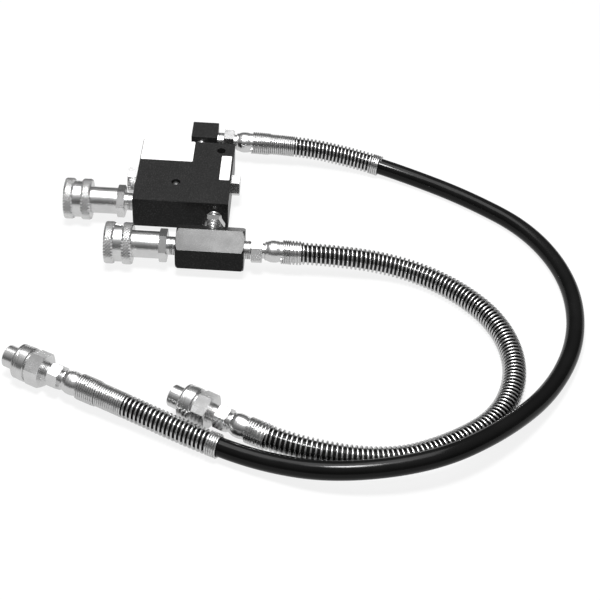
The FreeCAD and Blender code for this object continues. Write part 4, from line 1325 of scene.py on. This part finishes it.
@dataclass(frozen=True)
class Studio:
    """Pale floor, soft lamps and a plain world."""

    floor_level: float = 0.8
    bounce_level: float = 0.14
    dark_level: float = 0.14
    bright_level: float = 0.56
    dark_below: float = 0.35
    bright_above: float = 0.95
    floor_glow: float = 0.85
    mirror_glow: float = 0.68
    floor_reach: float = 6.0
    aim: Point = (0.1, -0.1, 0.0)
    lamps: Sequence[tuple[str, Point, float, float]] = (
        ("overhead", (0.05, 0.12, 1.40), 1.1, 13.0),
        ("highlight", (0.03, -0.31, 1.30), 0.26, 17.0),
    )

    def build(self) -> None:
        """Makes the floor, the world and the lamps."""
        self.make_floor()
        self.make_world()
        for lamp in self.lamps:
            self.make_lamp(*lamp)
        bpy.context.scene.view_settings.view_transform = "Standard"

    def make_floor(self) -> None:
        """The surface that the part rests on."""
        reach = self.floor_reach
        mesh = bpy.data.meshes.new("floor")
        signs = ((-1, -1), (1, -1), (1, 1), (-1, 1))
        corners = [(reach * x, reach * y, -FLOOR_GAP) for x, y in signs]
        mesh.from_pydata(corners, [], [(0, 1, 2, 3)])
        floor = link("floor", mesh)
        shader = Shader("floor_white")
        seen = shader.node("ShaderNodeLightPath", {}, {}, "Is Camera Ray")
        colour = shader.mix(seen, grey(self.bounce_level), grey(self.floor_level))
        plain = shader.node("ShaderNodeBsdfDiffuse", {}, {"Color": colour}, "BSDF")
        glow = shader.node(
            "ShaderNodeEmission", {}, {"Color": grey(1.0), "Strength": 1.0}, "Emission")
        mirrored = shader.node("ShaderNodeLightPath", {}, {}, "Is Glossy Ray")
        share = seen * self.floor_glow + mirrored * self.mirror_glow
        both = shader.node("ShaderNodeMixShader", {}, {0: share, 1: plain, 2: glow}, "Shader")
        floor.data.materials.append(shader.end(both))

    def make_world(self) -> None:
        """A world bright overhead, dark at the horizon, and plain white to the camera."""
        shader = Shader("studio_world", world=True)
        where = shader.node("ShaderNodeTexCoord", {}, {}, "Object")
        height = shader.node("ShaderNodeSeparateXYZ", {}, {"Vector": where}, "Z")
        climb = shader.ramp(height, self.dark_below, self.bright_above)
        sky = self.dark_level + climb * (self.bright_level - self.dark_level)
        seen = shader.node("ShaderNodeLightPath", {}, {}, "Is Camera Ray")
        level = seen + (1.0 - seen) * sky
        back = shader.node("ShaderNodeBackground", {}, {"Strength": level}, "Background")
        bpy.context.scene.world = shader.end(back)

    def make_lamp(self, name: str, place: Point, size: float, power: float) -> None:
        """A square soft lamp aimed at the part.

        Args:
            name: the lamp's name.
            place: where it hangs.
            size: its side.
            power: its strength in watts.
        """
        data = bpy.data.lights.new(name, "AREA")
        data.size = size
        data.energy = power
        lamp = link(name, data)
        lamp.location = place
        aim = Vector(self.aim) - Vector(place)
        lamp.rotation_euler = aim.to_track_quat("-Z", "Y").to_euler()


# The part.

OUTER_CONTROLS: tuple[Point, ...] = (
    (0.072925, 0.0859, LINE_HEIGHT),
    (0.126925, 0.0859, LINE_HEIGHT),
    (0.186, 0.081, 0.0128),
    (0.235, 0.0655, 0.008),
    (0.294, 0.033, 0.008),
    (0.352, -0.013, 0.008),
    (0.383, -0.082, 0.008),
    (0.3825, -0.1575, 0.008),
    (0.3535, -0.228, 0.0105),
    (0.305, -0.2885, 0.0223),
    (0.248, -0.328, 0.0247),
    (0.172, -0.3395, 0.0184),
    (0.111, -0.3235, 0.0096),
    (0.053, -0.300, 0.0112),
    (-0.001814, -0.274997, FAR_HEIGHT),
    (-0.045138, -0.254332, FAR_HEIGHT),
)
INNER_CONTROLS: tuple[Point, ...] = (
    (0.109825, -0.0803, LINE_HEIGHT),
    (0.165825, -0.0803, LINE_HEIGHT),
    (0.228, -0.0795, 0.012),
    (0.278, -0.106, 0.0103),
    (0.314, -0.149, 0.0103),
    (0.326, -0.205, 0.0103),
    (0.309, -0.2605, 0.0103),
    (0.267, -0.2955, 0.0103),
    (0.213, -0.319, 0.0103),
    (0.133007, -0.311909, FAR_HEIGHT),
    (0.094049, -0.291456, FAR_HEIGHT),
)
GUARD_RADIUS = 0.00925
CLOSED_PITCH = 0.00196
GUARD_IN = 0.010
OUTER_NEAR_GUARD_END: Point = (0.2105, 0.07325, 0.0104)
OUTER_FAR_GUARD_START: Point = (0.082, -0.31175, 0.0104)


def guard_runs(*marks: float, pitches: Sequence[float]) -> list[CoilRun]:
    """The runs of a guard between marks along its hose.

    Args:
        *marks: where each run starts, and where the last one ends.
        pitches: the pitch of each run.

    Returns:
        The runs in order.
    """
    return [
        CoilRun(start, end, pitch, GUARD_RADIUS)
        for start, end, pitch in zip(marks, marks[1:], pitches)
    ]


def build_outer_hose(shop: Workshop) -> None:
    """The hose from the elbow block, guarded at both ends.

    Args:
        shop: the shared tools.
    """
    hose = HoseLine(
        "outer", OUTER_CONTROLS, 0.9867,
        Bearing((0.048925, 0.0859, LINE_HEIGHT), 0.0),
        Bearing((-0.0668, -0.244, FAR_HEIGHT), -25.5),
    )
    probe = Route("outer_probe", OUTER_CONTROLS)
    near_end = probe.nearest(OUTER_NEAR_GUARD_END)
    far_start = probe.nearest(OUTER_FAR_GUARD_START)
    far_end = probe.length - GUARD_IN
    open_pitch, tight_end = 0.00375, 0.009
    closed_near, closed_far = 0.052, 0.043
    hose.build(shop, {
        "outer_near_guard": guard_runs(
            GUARD_IN, closed_near, near_end - tight_end, near_end,
            pitches=(CLOSED_PITCH, open_pitch, CLOSED_PITCH)),
        "outer_far_guard": guard_runs(
            far_start, far_start + tight_end, far_end - closed_far, far_end,
            pitches=(CLOSED_PITCH, open_pitch, CLOSED_PITCH)),
    })


def build_inner_hose(shop: Workshop) -> None:
    """The hose from the tee bar, guarded along its whole length.

    Args:
        shop: the shared tools.
    """
    hose = HoseLine(
        "inner", INNER_CONTROLS, 0.578,
        Bearing((0.085825, -0.0803, LINE_HEIGHT), 0.0),
        Bearing((0.0728, -0.2803, FAR_HEIGHT), -27.7),
    )
    end = Route("inner_probe", INNER_CONTROLS).length - GUARD_IN
    middle_pitch, open_pitch = 0.0030, 0.0040
    hose.build(shop, {
        "inner_guard": guard_runs(
            GUARD_IN, 0.018, 0.030, end - 0.020, end - 0.008, end,
            pitches=(CLOSED_PITCH, middle_pitch, open_pitch, middle_pitch, CLOSED_PITCH)),
    })


def paint_solids(paints: Paintbox) -> None:
    """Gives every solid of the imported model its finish.

    Args:
        paints: the finishes.
    """
    slots = {entry["node"]: entry["material_slot"] for entry in frame["record"]["subparts"]}
    for name, piece in frame["nodes"].items():
        paints.paint(piece, Finish(slots[name]))


def main() -> None:
    logging.basicConfig(level=logging.INFO, format="%(name)s: %(message)s")
    PhotoCamera().build()
    paints = Paintbox()
    shop = Workshop(paints)
    paint_solids(paints)
    build_outer_hose(shop)
    build_inner_hose(shop)
    ValveGroup().build(shop)
    ScrewCoupler("a", Bearing((-0.029625, -0.019125, LINE_HEIGHT), 180.0)).build(shop)
    ScrewCoupler("b", Bearing((0.016025, -0.0803, LINE_HEIGHT), 180.0)).build(shop)
    Studio().build()


if __name__ == "__main__":
    main()
